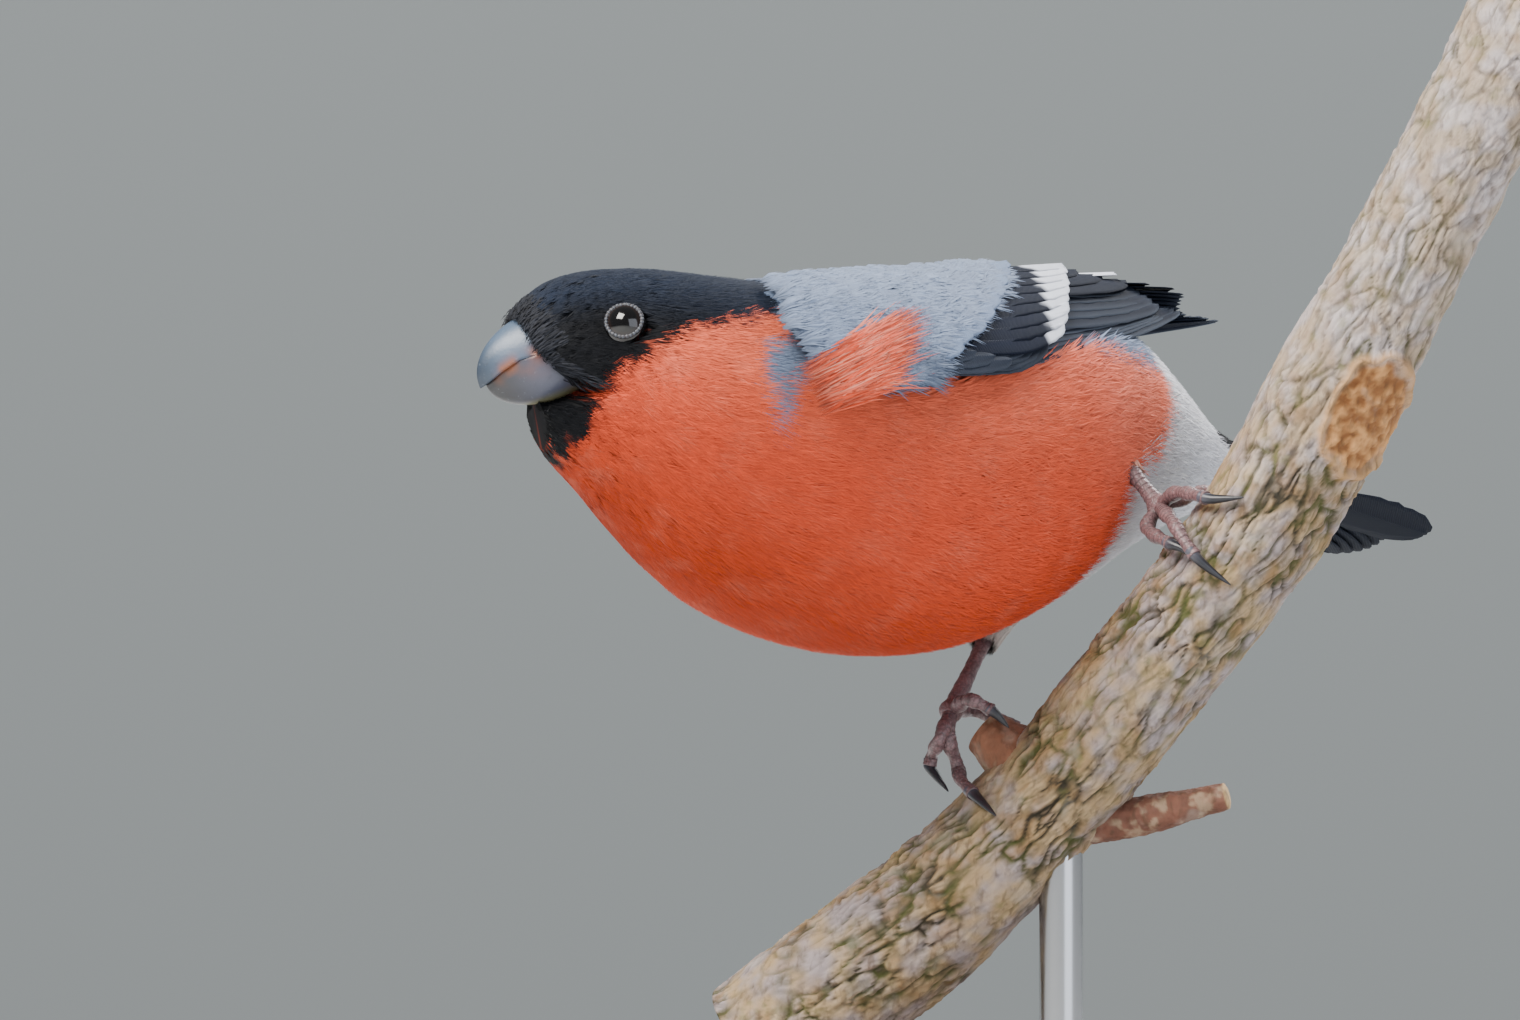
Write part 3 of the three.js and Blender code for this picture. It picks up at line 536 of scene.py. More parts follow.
@dataclass(frozen=True)
class Polished:
    """The stand's plain finishes."""

    name: str
    colour: int
    roughness: float
    metallic: float = 0.0

    def material(self) -> bpy.types.Material:
        """The finish: wood grain where it isn't metal."""
        g = Graph(self.name, roughness=self.roughness, metallic=self.metallic)
        if self.metallic:
            g.set("Base Color", linear(self.colour))
            return g.material
        grain = g.speckle(60, 5, (0.15, 1.0, 1.0))
        g.set("Base Color", g.mix(grain.between(0.35, 0.7), linear(self.colour), linear(self.colour) * 1.9))
        return g.material


def dress(thing: bpy.types.Object, material: bpy.types.Material, part: Part, *nodes: str) -> bpy.types.Object:
    """Gives a piece its material and the CAD nodes that it stands for."""
    thing.data.materials.append(material)
    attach(thing, "root")
    if nodes:
        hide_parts(*nodes)
    faces = sum(len(p.vertices) - 2 for p in thing.data.polygons)
    LOG.info("%s: %d triangles, stands for %s", thing.name, faces, ", ".join(nodes) or "nothing")
    return thing


def show(name: str, shell: Shell, material: bpy.types.Material, part: Part, *nodes: str,
         pose: Optional["Pose"] = None) -> bpy.types.Object:
    """Makes and dresses a shell's piece, placed with the bird where a pose is given."""
    points = pose.world(shell.points) if pose else shell.points
    extra = {key: shell.marks[key] for key in ("barbs",) if key in shell.marks}
    thing = build(name, points, shell.faces, tint=shell.marks.get("tint"), extra=extra)
    return dress(thing, material, part, *nodes)


# The bird's form


@dataclass
class Pose:
    """How the body stands, turns and swells along its spine."""

    place: tuple[float, float] = (-15.8, -8.0)
    yaw: float = 225 * DEG
    rear: float = -62.0
    head_turn: float = 25 * DEG
    turn_from: float = 77.0
    turn_to: float = 100.0
    power: float = 2.15
    sections: Array = field(default_factory=lambda: np.array([
        [0, 98.8, 91.6, 7.0, 95.0, 0],
        [8, 102.4, 89.8, 10.0, 95.8, 0],
        [16, 108.6, 87.6, 13.6, 97.0, 0],
        [26, 115.2, 83.6, 18.0, 98.0, 0],
        [38, 118.6, 77.8, 21.8, 97.6, 0],
        [50, 119.4, 73.8, 23.8, 97.0, 0],
        [62, 118.8, 73.2, 24.6, 97.0, 0],
        [72, 117.0, 74.8, 24.2, 98.0, 0],
        [80, 117.6, 77.2, 22.2, 100.0, 0],
        [87, 118.4, 79.8, 18.8, 102.0, 0],
        [94, 119.1, 83.2, 15.0, 105.0, 0.04],
        [100.5, 118.9, 88.0, 11.9, 108.0, 0.1],
        [105, 117.6, 92.2, 8.2, 108.6, 0.16],
        [108, 115.4, 95.2, 6.0, 108.2, 0.2],
        [109.6, 113.4, 97.6, 4.4, 107.6, 0.2],
    ], float))

    def __post_init__(self) -> None:
        """Adds up the spine's path from its heading, in short steps."""
        step = 0.25
        self.lengths = np.arange(-4, 114, step)
        heading = self.head_turn * ease(self.lengths + step / 2, self.turn_from, self.turn_to)
        self.turns = self.head_turn * ease(self.lengths, self.turn_from, self.turn_to)
        self.us = self.rear - 4 + np.concatenate([[0], np.cumsum(step * np.cos(heading))[:-1]])
        self.vs = np.concatenate([[0], -np.cumsum(step * np.sin(heading))[:-1]])

    @property
    def end(self) -> float:
        """The spine's length up to the front of the face."""
        return float(self.sections[-1, 0])

    def spine(self, length: Array) -> tuple[Array, Array, Array]:
        """Place (u, v) and heading of the spine at a length."""
        return tuple(np.interp(length, self.lengths, row) for row in (self.us, self.vs, self.turns))

    def world(self, local: Array) -> Array:
        """Points of the bird's frame in the model: turned by the yaw, then moved."""
        c, s = math.cos(self.yaw), math.sin(self.yaw)
        u, v, z = local[..., 0], local[..., 1], local[..., 2]
        return np.stack([self.place[0] + c * u - s * v, self.place[1] + s * u + c * v, z], -1)

    def local(self, world: Array) -> Array:
        """Points of the model in the bird's frame."""
        c, s = math.cos(self.yaw), math.sin(self.yaw)
        x, y, z = world[..., 0] - self.place[0], world[..., 1] - self.place[1], world[..., 2]
        return np.stack([c * x + s * y, -s * x + c * y, z], -1)

    def surface(self, length: Array, angle: Array, growth: Array = 0.0) -> Array:
        """Points of the body in its own frame: a super-ellipse across the spine, grown outwards.

        The angle is zero at the left side and a quarter turn at the back.
        """
        top, bottom, half, widest, lean = (along(self.sections, length, c) for c in range(1, 6))
        rounded = lambda x: np.sign(x) * np.abs(x) ** (2 / self.power)
        rise = rounded(np.sin(angle))
        z = widest + rise * (np.where(rise > 0, top - widest, widest - bottom) + growth)
        across = rounded(np.cos(angle)) * (half + growth)
        u, v, turn = self.spine(length + lean * (z - widest))
        return np.stack([u + across * np.sin(turn), v + across * np.cos(turn), z], -1)

    def normal(self, length: Array, angle: Array) -> Array:
        """Outward unit normals, from the cross product of the two ways along the surface."""
        ahead = self.surface(length + 0.2, angle) - self.surface(length - 0.2, angle)
        round_ = self.surface(length, angle + 0.03) - self.surface(length, angle - 0.03)
        return unit(np.cross(round_, ahead))


@dataclass
class Markings:
    """The male's colours over spine length and elevation, in degrees from the side upwards."""

    cap_edge: Array = field(default_factory=lambda: np.array([
        [-90, 108.9], [-60, 108.6], [-50, 108.4], [-26, 105.9], [-18, 104.8], [-8, 103.7], [0, 101.7],
        [4, 100.2], [18, 97.9], [26, 97.3], [34, 94.0], [43, 90.9], [50, 87.6], [59, 86.1], [73, 83.2],
        [90, 81],
    ], float))
    grey_edge: Array = field(default_factory=lambda: np.array([
        [0, 44], [26, 40], [30, 34], [60, 34], [70, 34], [80, 28], [84.1, 24], [86.3, 12], [87.2, -2],
        [87.8, -6], [88.3, 20], [88.8, 50], [89.5, 95], [112, 95],
    ], float))
    white_edge: Array = field(default_factory=lambda: np.array([
        [-90, 44], [-60, 43], [-35, 41], [-22, 39.8], [-12, 40.2], [-4, 36], [-2, 33.4], [7, 31],
        [18, 28.8], [32, 28.6], [40, 29.5], [50, 27], [90, 26],
    ], float))
    tail_edge: Array = field(default_factory=lambda: np.array([[5, -5], [15, 9], [30, 13], [90, 14]], float))
    black: int = 0x06080E
    # A bluish tone mixed onto the cap's upper side as painted sheen.
    gloss: int = 0x111C2E
    # The paler and deeper salmon are partly the breast's own tones and partly painted light on the upper side
    # and painted shade towards the belly.
    salmon_pale_and_lit: int = 0xF07454
    salmon: int = 0xE25432
    salmon_deep_and_shaded: int = 0xC84014
    blush: int = 0xF0907A
    frost: int = 0xF0937A
    grey: int = 0x74849F
    white: int = 0xDEE1EA

    def colour(self, length: Array, angle: Array, where: Array) -> Array:
        """Linear colour at places on the body.

        Args:
            length: spine lengths.
            angle: angles round the spine.
            where: the places themselves, for the uneven borders.

        Returns:
            One colour for each place, mixed across soft borders.
        """
        ragged = 0.7 * noise(where * 0.8, 3) + 0.4 * noise(where * 2.2, 4)
        s = length + ragged
        e = np.arcsin(np.clip(np.sin(angle), -1, 1)) / DEG + 2.2 * ragged
        edge = lambda table, key: np.interp(key, table[:, 0], table[:, 1])
        # By elevation the salmon deepens below and pales above: partly its own tone, partly painted shade on
        # the belly and painted light on top.
        layers = (
            (self.salmon_deep_and_shaded, ease(-e, 10, 75)),
            (self.salmon_pale_and_lit, 0.7 * ease(e, -20, 25)),
            (self.blush, 0.45 * ease(-s, -54, -34) * ease(e, -30, 8)),
            (self.frost, 0.2 * ease(noise(where * np.array([0.5, 0.5, 0.9]), 9), 0.1, 0.8)),
            (self.grey, ease(e - edge(self.grey_edge, s), -3, 3)),
            (self.white, ease(edge(self.white_edge, e) - s, -1.2, 1.2)),
            (self.black, ease(edge(self.tail_edge, e) - s, -0.6, 0.6)),
        )
        colour = linear(self.salmon)
        for code, share in layers:
            colour = paint(colour, code, share)
        # Painted sheen: the black cap turns bluish towards its upper side.
        dark = paint(linear(self.black), self.gloss, ease(e, 20, 60))
        cap = ease(s - edge(self.cap_edge, e), -0.35, 0.35)[:, None]
        return colour * (1 - cap) + dark * cap


# Wings


@dataclass(frozen=True)
class Tier:
    """One row of the wing's feathers; each pair holds the first and the last feather's value."""

    name: str
    count: int
    root_p: tuple[float, float]
    root_q: tuple[float, float]
    tip_p: tuple[float, float]
    tip_q: tuple[float, float]
    width: float
    lift: tuple[float, float]
    tilt: float
    pointed: float = 0.0
    shaft: float = 0.0
    pale_tip: tuple[float, float] = (0.0, 0.0)
    pale_edge: float = 0.0
    base: int = 0x0A0F1C
    tip: int = 0xE4E7EE


def vane_grid(rows: int, crowding: float) -> tuple[Array, Array]:
    """Shares along a vane, closer together near its tip, and places across it from -1 to 1."""
    across = np.array([-1, -0.82, -0.55, -0.25, -0.06, 0.06, 0.25, 0.55, 0.82, 1.0])
    return grid(1 - (1 - np.linspace(0, 1, rows)) ** crowding, across)


def vane_width(share: Array, widest: float, root: float, power: float) -> Array:
    """Width over the greatest: a straight rise up to the widest share, then sqrt(1 - t^power)."""
    t = np.clip((share - widest) / (1.005 - widest), 0, 1)
    fall = np.sqrt(np.clip(1 - t**power, 0.004, 1))
    return np.where(share < widest, root + (1 - root) * share / widest, fall)


@dataclass
class Wing:
    """A folded wing: tiers of vanes on a curved guide sheet from the bend to the tip."""

    pose: Pose
    side: str = "left"
    curl: float = 2.7 * DEG
    back: float = 9.5
    down: float = 1.0
    swing: float = 6 * DEG
    edge: Array = field(default_factory=lambda: np.array([
        [0, 25, 22.4, 104.0, 70],
        [8, 17.5, 24.4, 105.0, 69],
        [28, -3, 23.4, 106.6, 66],
        [40, -14.5, 20.4, 109.0, 60],
        [58, -32, 13.8, 111.6, 52],
        [80, -53.2, 4.6, 114.4, 42],
    ], float))
    tiers: tuple[Tier, ...] = (
        Tier("primaries", 7, (30, 30), (1.6, 6.6), (78, 71), (1.0, 4.0), 4.4, (-1.1, -0.6), 0.34,
             pointed=1.0, shaft=-0.35, pale_edge=0.12),
        # The secondaries' pale edges are painted highlights along their glossy edges.
        Tier("secondaries", 6, (26, 26), (7, 16), (73, 70.5), (2.8, 7.6), 5.4, (-0.5, -0.2), 0.2,
             pointed=0.2, shaft=-0.2, pale_edge=0.07),
        Tier("tertials", 3, (24, 24), (14, 17.5), (69.5, 61), (7.6, 12.0), 6.6, (0.0, 0.35), 0.18),
        Tier("primary_coverts", 5, (16, 14), (2.0, 5.0), (37.5, 33), (1.6, 3.6), 4.0, (-0.2, 0.3), 0.25,
             pointed=0.4, pale_edge=0.05, base=0x141821),
        Tier("greater_coverts", 9, (19, 34), (4.8, 17.0), (43, 59.5), (3.2, 13.6), 4.8, (0.1, 0.75), 0.2,
             pale_tip=(6.5, 11.5), tip=0xD3D8E4),
        Tier("alula", 3, (8, 7), (3.0, 4.6), (28, 22), (1.5, 3.2), 3.4, (0.2, 0.7), 0.3, base=0x1A1F29,
             pale_edge=0.05),
        Tier("median_coverts", 9, (8, 28), (4.8, 16.5), (20.5, 45), (4.6, 15.6), 4.8, (0.3, 1.1), 0.2,
             pale_tip=(7, 9), tip=0x74849F, base=0x3B4250),
    )

    def sheet(self, p: Array, q: Array, h: Array) -> Array:
        """Points of the guide sheet in the bird's frame.

        From the lower edge the wall leans over by the curl for each millimetre up, so its
        height and width are the integrals of the sine and cosine of that lean.
        """
        u, v, z, slope = (along(self.edge, p, c) for c in (1, 2, 3, 4))
        first = slope * DEG
        here = first - self.curl * q
        v = v - (np.sin(first) - np.sin(here)) / self.curl
        z = z + (np.cos(here) - np.cos(first)) / self.curl
        local = np.stack([u, v + h * np.sin(here), z + h * np.cos(here)], -1)
        return local if self.side == "left" else self.mirrored(local)

    def mirrored(self, local: Array) -> Array:
        """The far wing's own place: mirrored, moved back and down, and swung about its bend."""
        bend_u, bend_v = self.edge[0, 1], -self.edge[0, 2]
        du, dv = local[..., 0] - bend_u, -local[..., 1] - bend_v
        c, s = math.cos(self.swing), math.sin(-self.swing)
        u = bend_u - self.back + c * du - s * dv
        return np.stack([u, bend_v + s * du + c * dv, local[..., 2] - self.down], -1)

    def height(self, p: Array) -> Array:
        """How far up the sheet the wing reaches at a length from its bend."""
        return 20.5 - 8.5 * ease(p, 30, 70)

    def reach(self, local: Array) -> tuple[Array, Array]:
        """How deep points lie under the wing.

        Args:
            local: points in the bird's frame.

        Returns:
            Whether each lies in the wing's outline, and its height over the guide sheet,
            both from the nearest of a grid of samples.
        """
        p, q = grid(np.linspace(0, 78, 79), np.linspace(-1, 24, 26))
        p, q = p.ravel(), q.ravel()
        at = self.sheet(p, q, np.zeros_like(p)).astype(np.float32)
        out = unit(self.sheet(p, q, np.ones_like(p)) - at)
        inside = (q > 0.2) & (q < self.height(p) + 0.3) & (p > 0.6) & (p < 60 + 1.4 * (10 - q).clip(0))
        covered = np.zeros(len(local), bool)
        depth = np.zeros(len(local))
        for start in range(0, len(local), 6000):
            part = local[start:start + 6000].astype(np.float32)
            gaps = (part**2).sum(1)[:, None] - 2 * part @ at.T + (at**2).sum(1)
            near = gaps.argmin(1)
            away = part - at[near]
            h = np.einsum("ij,ij->i", away, out[near])
            slide = np.linalg.norm(away - h[:, None] * out[near], axis=1)
            covered[start:start + 6000] = inside[near] & (slide < 1.4) & (np.abs(h) < 7)
            depth[start:start + 6000] = h
        return covered, depth

    def vane(self, tier: Tier, t: float, seed: int) -> Shell:
        """One feather: a thin cambered plate with a raised shaft, rounded at its tip.

        Its half width grows to 0.6 of its length and then falls by a power curve; across, it
        sinks with the square of the distance from the shaft.
        """
        rng = np.random.default_rng(seed)
        pick = lambda pair: pair[0] + (pair[1] - pair[0]) * t
        root = np.array([pick(tier.root_p), pick(tier.root_q)])
        tip = np.array([pick(tier.tip_p), pick(tier.tip_q)]) + rng.normal(0, 0.15, 2)
        length = np.linalg.norm(tip - root)
        way = (tip - root) / length
        share, c = vane_grid(20, 1.35)
        half = tier.width / 2 * vane_width(share, 0.55, 0.62, 2.6 - 1.0 * tier.pointed)
        half = half * (1 + 0.025 * rng.normal(size=share.shape) * (np.abs(c) > 0.9))
        offset = half * c
        p = root[0] + (tip[0] - root[0]) * share - way[1] * offset
        q = root[1] + (tip[1] - root[1]) * share + way[0] * offset
        from_shaft = c - tier.shaft * (1 - np.abs(c))
        rise = tier.lift[0] + (tier.lift[1] - tier.lift[0]) * share - tier.tilt * offset
        rise = rise - 0.16 * from_shaft**2 + 0.1 * np.exp(-(from_shaft / 0.12) ** 2)
        thick = 0.05 + 0.12 * (1 - np.abs(c))
        millimetres = length * share
        to_tip = length * (1 - share) + 1.2 * np.abs(c) + 0.5 * noise(
            np.stack([c * 3, share * 9, np.full_like(c, seed)], -1), seed)
        pale = pick(tier.pale_tip)
        tipped = ease(pale - to_tip, -0.5, 0.5) if pale else np.zeros_like(c)
        # Pale edges and tips; on the secondaries they are painted highlights along the glossy edges.
        edged = tier.pale_edge * 6 * ease(-c, 0.72, 0.98) + tier.pale_edge * 2 * ease(share, 0.93, 1.0)
        sheen = 0.3 * np.exp(-((c + 0.25) / 0.3) ** 2)
        tint = linear(tier.base) * (1 + 1.5 * sheen[..., None])
        tint = paint(paint(tint, 0x66707F, np.clip(edged, 0, 0.9)), tier.tip, tipped)
        tint = tint * (1 + 0.05 * rng.normal())
        marks = {"tint": tint, "barbs": (millimetres + 1.1 * np.abs(offset)) * 1.05}
        return plate(self.sheet(p, q, rise + thick), self.sheet(p, q, rise - thick), marks)

    def core(self) -> Shell:
        """The wing's body under its feathers: a curved plate from the bend to the feathers' middle."""
        p, share = grid(np.linspace(1, 54, 40), np.linspace(0, 1, 16))
        q = 1.6 + (self.height(p) - 2.8) * share
        tint = np.broadcast_to(linear(0x5A6880), (*p.shape, 3))
        swell = 0.5 * np.sin(np.pi * np.clip(share, 0, 1)) ** 0.5
        top, bottom = self.sheet(p, q, -0.9 + swell), self.sheet(p, q, -2.2 + 0 * p)
        return plate(top, bottom, {"tint": tint, "barbs": p})

    def make(self, finish: VaneFinish) -> bpy.types.Object:
        """Joins the core and every tier into the wing's piece."""
        offset = 0 if self.side == "left" else 500
        shells = [self.core()]
        for row, tier in enumerate(self.tiers):
            shares = np.linspace(0, 1, tier.count)
            shells += [self.vane(tier, float(t), offset + 40 * row + k) for k, t in enumerate(shares)]
        return show(f"wing_{self.side}_feathers", joined(shells), finish.material(), Part.FLIGHT,
                    f"wing_{self.side}", pose=self.pose)


@dataclass
class Tail:
    """The folded tail: six pairs of feathers and the coverts at its root."""

    pose: Pose
    drop: float = 17 * DEG
    root_height: float = 95.8
    roll: float = 0.15
    cup: float = 0.014
    length: float = 32.2
    pairs: int = 6
    width: float = 8.4
    step: float = 0.34
    gap: float = 0.3
    covert: float = 4.2
    dark: int = 0x11141C
    upper: int = 0x11151F
    under: int = 0xE1E2E7

    def sheet(self, p: Array, q: Array, h: Array) -> Array:
        """Points of the tail's plane, cupped by the square of q and rolled to the left."""
        bend = (self.roll * q + self.cup * q * q) * np.minimum(p / 12, 1)
        z = self.root_height - p * math.sin(self.drop) + (h + bend) * math.cos(self.drop)
        u = self.pose.rear - self.gap - p * math.cos(self.drop) - h * math.sin(self.drop)
        return np.stack([u, q + 0 * p, z + 0 * q], -1)

    def vane(self, root: Sequence[float], tip: Sequence[float], width: float, lift: Sequence[float],
             shaft: float, seed: int, base: int) -> Shell:
        """One feather, as the wing's: a thin plate from root to tip with a raised shaft."""
        rng = np.random.default_rng(seed)
        share, c = vane_grid(22, 1.3)
        half = width / 2 * vane_width(share, 0.6, 0.55, 2.8)
        half = half * (1 + 0.03 * rng.normal(size=share.shape) * (np.abs(c) > 0.9))
        p = root[0] + (tip[0] - root[0]) * share
        q = root[1] + (tip[1] - root[1]) * share + half * c
        off = c - shaft * (1 - np.abs(c))
        rise = lift[0] + (lift[1] - lift[0]) * share - 0.12 * off**2 + 0.09 * np.exp(-(off / 0.12) ** 2)
        thick = 0.05 + 0.1 * (1 - np.abs(c))
        # Painted glint: each tail feather is lightened towards its edges.
        tint = linear(base) * (1 + 0.25 * ease(np.abs(c), 0.7, 1.0)[..., None])
        marks = {"tint": tint, "barbs": ((tip[0] - root[0]) * share + 1.1 * np.abs(half * c)) * 1.05}
        return plate(self.sheet(p, q, rise + thick), self.sheet(p, q, rise - thick), marks)

    def make(self, finish: VaneFinish) -> bpy.types.Object:
        """Joins the feathers, a root plug and the coverts."""
        t = np.array([0.02, 5, 11, 16])
        half, top, low = np.array([[6.9, 7.4, 7.6, 6.6], [3.3, 2.4, 1.1, 0.3], [3.4, 2.5, 1.3, 0.6]])
        turn = circle(24)
        rise = np.sin(turn) * np.where(np.sin(turn) > 0, top[:, None], low[:, None])
        rings = self.sheet(t[:, None] + 0 * rise, half[:, None] * np.cos(turn), rise)
        shade = np.where(np.sin(turn)[None, :, None] > -0.2, linear(0x10131D), linear(0xD9DADF))
        plug = tube(rings, {"tint": np.broadcast_to(shade, (4, 24, 3)), "barbs": rise})
        shells = []
        for pair in range(self.pairs):
            for side in (1, -1):
                place = side * (1 + 1.15 * pair)
                lift = 0.5 - self.step * (pair + (0.5 if side < 0 else 0))
                end = self.length - 1.2 + 0.5 * pair - 0.13 * pair * pair
                shaft = 0.35 * side * min(pair, 3) / 3
                root, tip, seed = (0.3, place * 0.5), (end, place * 1.15), 900 + 2 * pair + (side > 0)
                shells.append(self.vane(root, tip, self.width, (lift, lift), shaft, seed, self.dark))
        for k, q in enumerate(np.linspace(-5, 5, 9)):
            root, reach = (0.5, q * 0.8), 14.5 - 0.7 * abs(q)
            shells.append(self.vane(root, (reach, q), self.covert, (3.0, 1.0), 0, 940 + k, self.upper))
            shells.append(self.vane(root, (reach + 4, q * 0.9), self.covert, (-3.1, -2.2), 0, 960 + k,
                                    self.under))
        for shell in shells:
            shell.faces = np.concatenate([shell.faces[:, [0, 1, 2]], shell.faces[:, [0, 2, 3]]])
        return show("tail_feathers", joined([plug, *shells]), finish.material(), Part.FLIGHT, "tail",
                    pose=self.pose)


# Bill and eyes


@dataclass
class Bill:
    """The stout domed bill in its own frame: x along it, z up, parted at the arched mouth line."""

    pose: Pose
    station: float = 106.6
    height: float = 108.5
    pitch: float = 22 * DEG
    length: float = 9.2
    half_width: float = 4.6
    culmen: float = 5.7
    gonys: float = 5.0
    sunk: float = 2.6
    boxy: float = 0.78
    walls: int = 30
    mouth: Array = field(default_factory=lambda: np.array([
        [-4, -1.6], [0, 0.2], [2.2, 1.15], [4.5, 1.3], [6.6, 0.7], [8.2, 0.0], [11, -1.2]], float))

    def place(self, own: Array) -> Array:
        """Points of the bill's frame in the bird's: pitched down, turned with the head and moved."""
        u, v, turn = (float(x) for x in self.pose.spine(self.station))
        c, s = math.cos(self.pitch), math.sin(self.pitch)
        x, y, z = own[..., 0], own[..., 1], own[..., 2]
        ahead, up = c * x + s * z, -s * x + c * z
        ch, sh = math.cos(-turn), math.sin(-turn)
        return np.stack([u + ch * ahead - sh * y, v + sh * ahead + ch * y, self.height + up], -1)

    def own(self, local: Array) -> Array:
        """Points of the bird's frame in the bill's."""
        u, v, turn = (float(x) for x in self.pose.spine(self.station))
        ch, sh = math.cos(-turn), math.sin(-turn)
        du, dv, up = local[..., 0] - u, local[..., 1] - v, local[..., 2] - self.height
        ahead, y = ch * du + sh * dv, -sh * du + ch * dv
        c, s = math.cos(self.pitch), math.sin(self.pitch)
        return np.stack([c * ahead - s * up, y, s * ahead + c * up], -1)

    def border(self, z: Array) -> Array:
        """Where the feathers begin at a height: further back along the lower mandible."""
        return 2.4 + 0.55 * np.minimum(z - 1.5, 0)

    def press(self, local: Array) -> Array:
        """Points of the face, pressed in beside the lower mandible down to its width."""
        own = self.own(local)
        x, y, z = own[..., 0], own[..., 1], own[..., 2]
        share = ease(x - self.border(z), -1.5, 0.1) * ease(z, -6.0, -4.6) * (1 - ease(z, 0.5, 2.5))
        low = np.clip(np.abs(np.minimum(z, 0)) / self.gonys, 0, 1)
        room = self.half_width * (1 - low ** (2 / self.boxy)) ** (self.boxy / 2)
        room = room * (1 - 0.25 * ease(x, -0.6, 2.2)) - 0.15
        kept = np.sign(y) * np.minimum(np.abs(y), np.maximum(room, 0.6))
        return self.place(np.stack([x, y + (kept - y) * share, z], -1))

    def half(self, upper: bool, length: float) -> Shell:
        """One mandible: an elliptical section that falls to the tip, closed along the mouth line.

        The section's height is its greatest times sqrt(1 - share^2.1); its walls run from the
        mouth line on one side over the ridge to the other, then back across a hollowed floor.
        """
        sign = 1 if upper else -1
        share = np.concatenate([[-self.sunk / length], 1 - (1 - np.linspace(0, 0.993, 44)) ** 1.25])
        along_it, clipped = share * length, np.clip(share, 0, 1)
        arch = np.sqrt(1 - clipped**2.1)
        above, below = self.culmen * arch, self.gonys * arch
        wide = self.half_width * (1 - clipped**1.7) ** 0.8 + 0.02 + 0.3 * (-along_it).clip(0)
        line = np.interp(along_it, self.mouth[:, 0], self.mouth[:, 1]) + 0.09 * sign
        start = np.arcsin(np.clip(line / np.where(line > 0, above, below), -0.97, 0.97))[:, None]
        angle = start + (sign * np.pi - 2 * start) * np.linspace(0, 1, self.walls)
        power = 1.0 if upper else self.boxy
        signed = lambda v: np.sign(v) * np.abs(v) ** power
        rise = signed(np.sin(angle))
        z = rise * np.where(rise > 0, above[:, None], below[:, None])
        y = wide[:, None] * signed(np.cos(angle))
        x = along_it[:, None] + 0 * z
        if upper:
            z = z + 0.12 * np.exp(-(((angle - np.pi / 2) / 0.5) ** 2)) * np.sqrt(1 - clipped[:, None] ** 2)
        across = np.linspace(1, -1, 9)[1:-1]
        sag = 0.5 * sign * (1 - across**2) * np.sqrt(1 - clipped)[:, None]
        floor = np.stack([x[:, :1] + 0 * sag, -y[:, :1] * across, z[:, :1] + sag], -1)
        rings = np.concatenate([np.stack([x, y, z], -1), floor], 1)
        return tube(rings, {"tint": self.tint(upper, length, rings)})

    def tint(self, upper: bool, length: float, rings: Array) -> Array:
        """Slate that darkens to the tip, brown along the mouth and yellowish on the lower rim."""
        x, z = rings[..., 0], rings[..., 2]
        pale, dark = (0x4A5B70, 0x1B2028) if upper else (0x474A5A, 0x25231A)
        first, last = (0.55, 1.0) if upper else (0.25, 0.9)
        colour = paint(linear(pale), dark, 0.75 * ease(x, first * length, last * length))
        colour[:, self.walls:] = linear(0x3A2A26)
        column = np.arange(rings.shape[1])
        edge = np.exp(-((np.minimum(column, self.walls - 1 - column) / 2.2) ** 2)) * (column < self.walls)
        worn = ease(noise(rings * np.array([0.5, 0.8, 0.8]), 21), -0.5, 0.4)
        colour = paint(colour, 0x8A4A18, 0.85 * edge * worn * ease(x, 1.0, 2.5) * (1 - ease(x, 6.5, 8)))
        rim = 0.0 if upper else 0.6 * ease(-z, 3.4, 4.8) * (1 - ease(x, 4.5, 7.5))
        return paint(colour, 0x8C8648, rim)

    def turned(self, shell: Shell) -> Shell:
        """A shell of the bill's frame in the bird's."""
        return Shell(self.place(shell.points), shell.faces, shell.marks)

    def make(self, finish: Horn) -> list[bpy.types.Object]:
        """Both mandibles as pieces."""
        made = []
        for upper, name, length in ((True, "upper", self.length), (False, "lower", self.length * 0.91)):
            made.append(show(f"mandible_{name}", self.turned(self.half(upper, length)), finish.material(),
                             Part.BILL, f"bill_{name}", pose=self.pose))
        return made


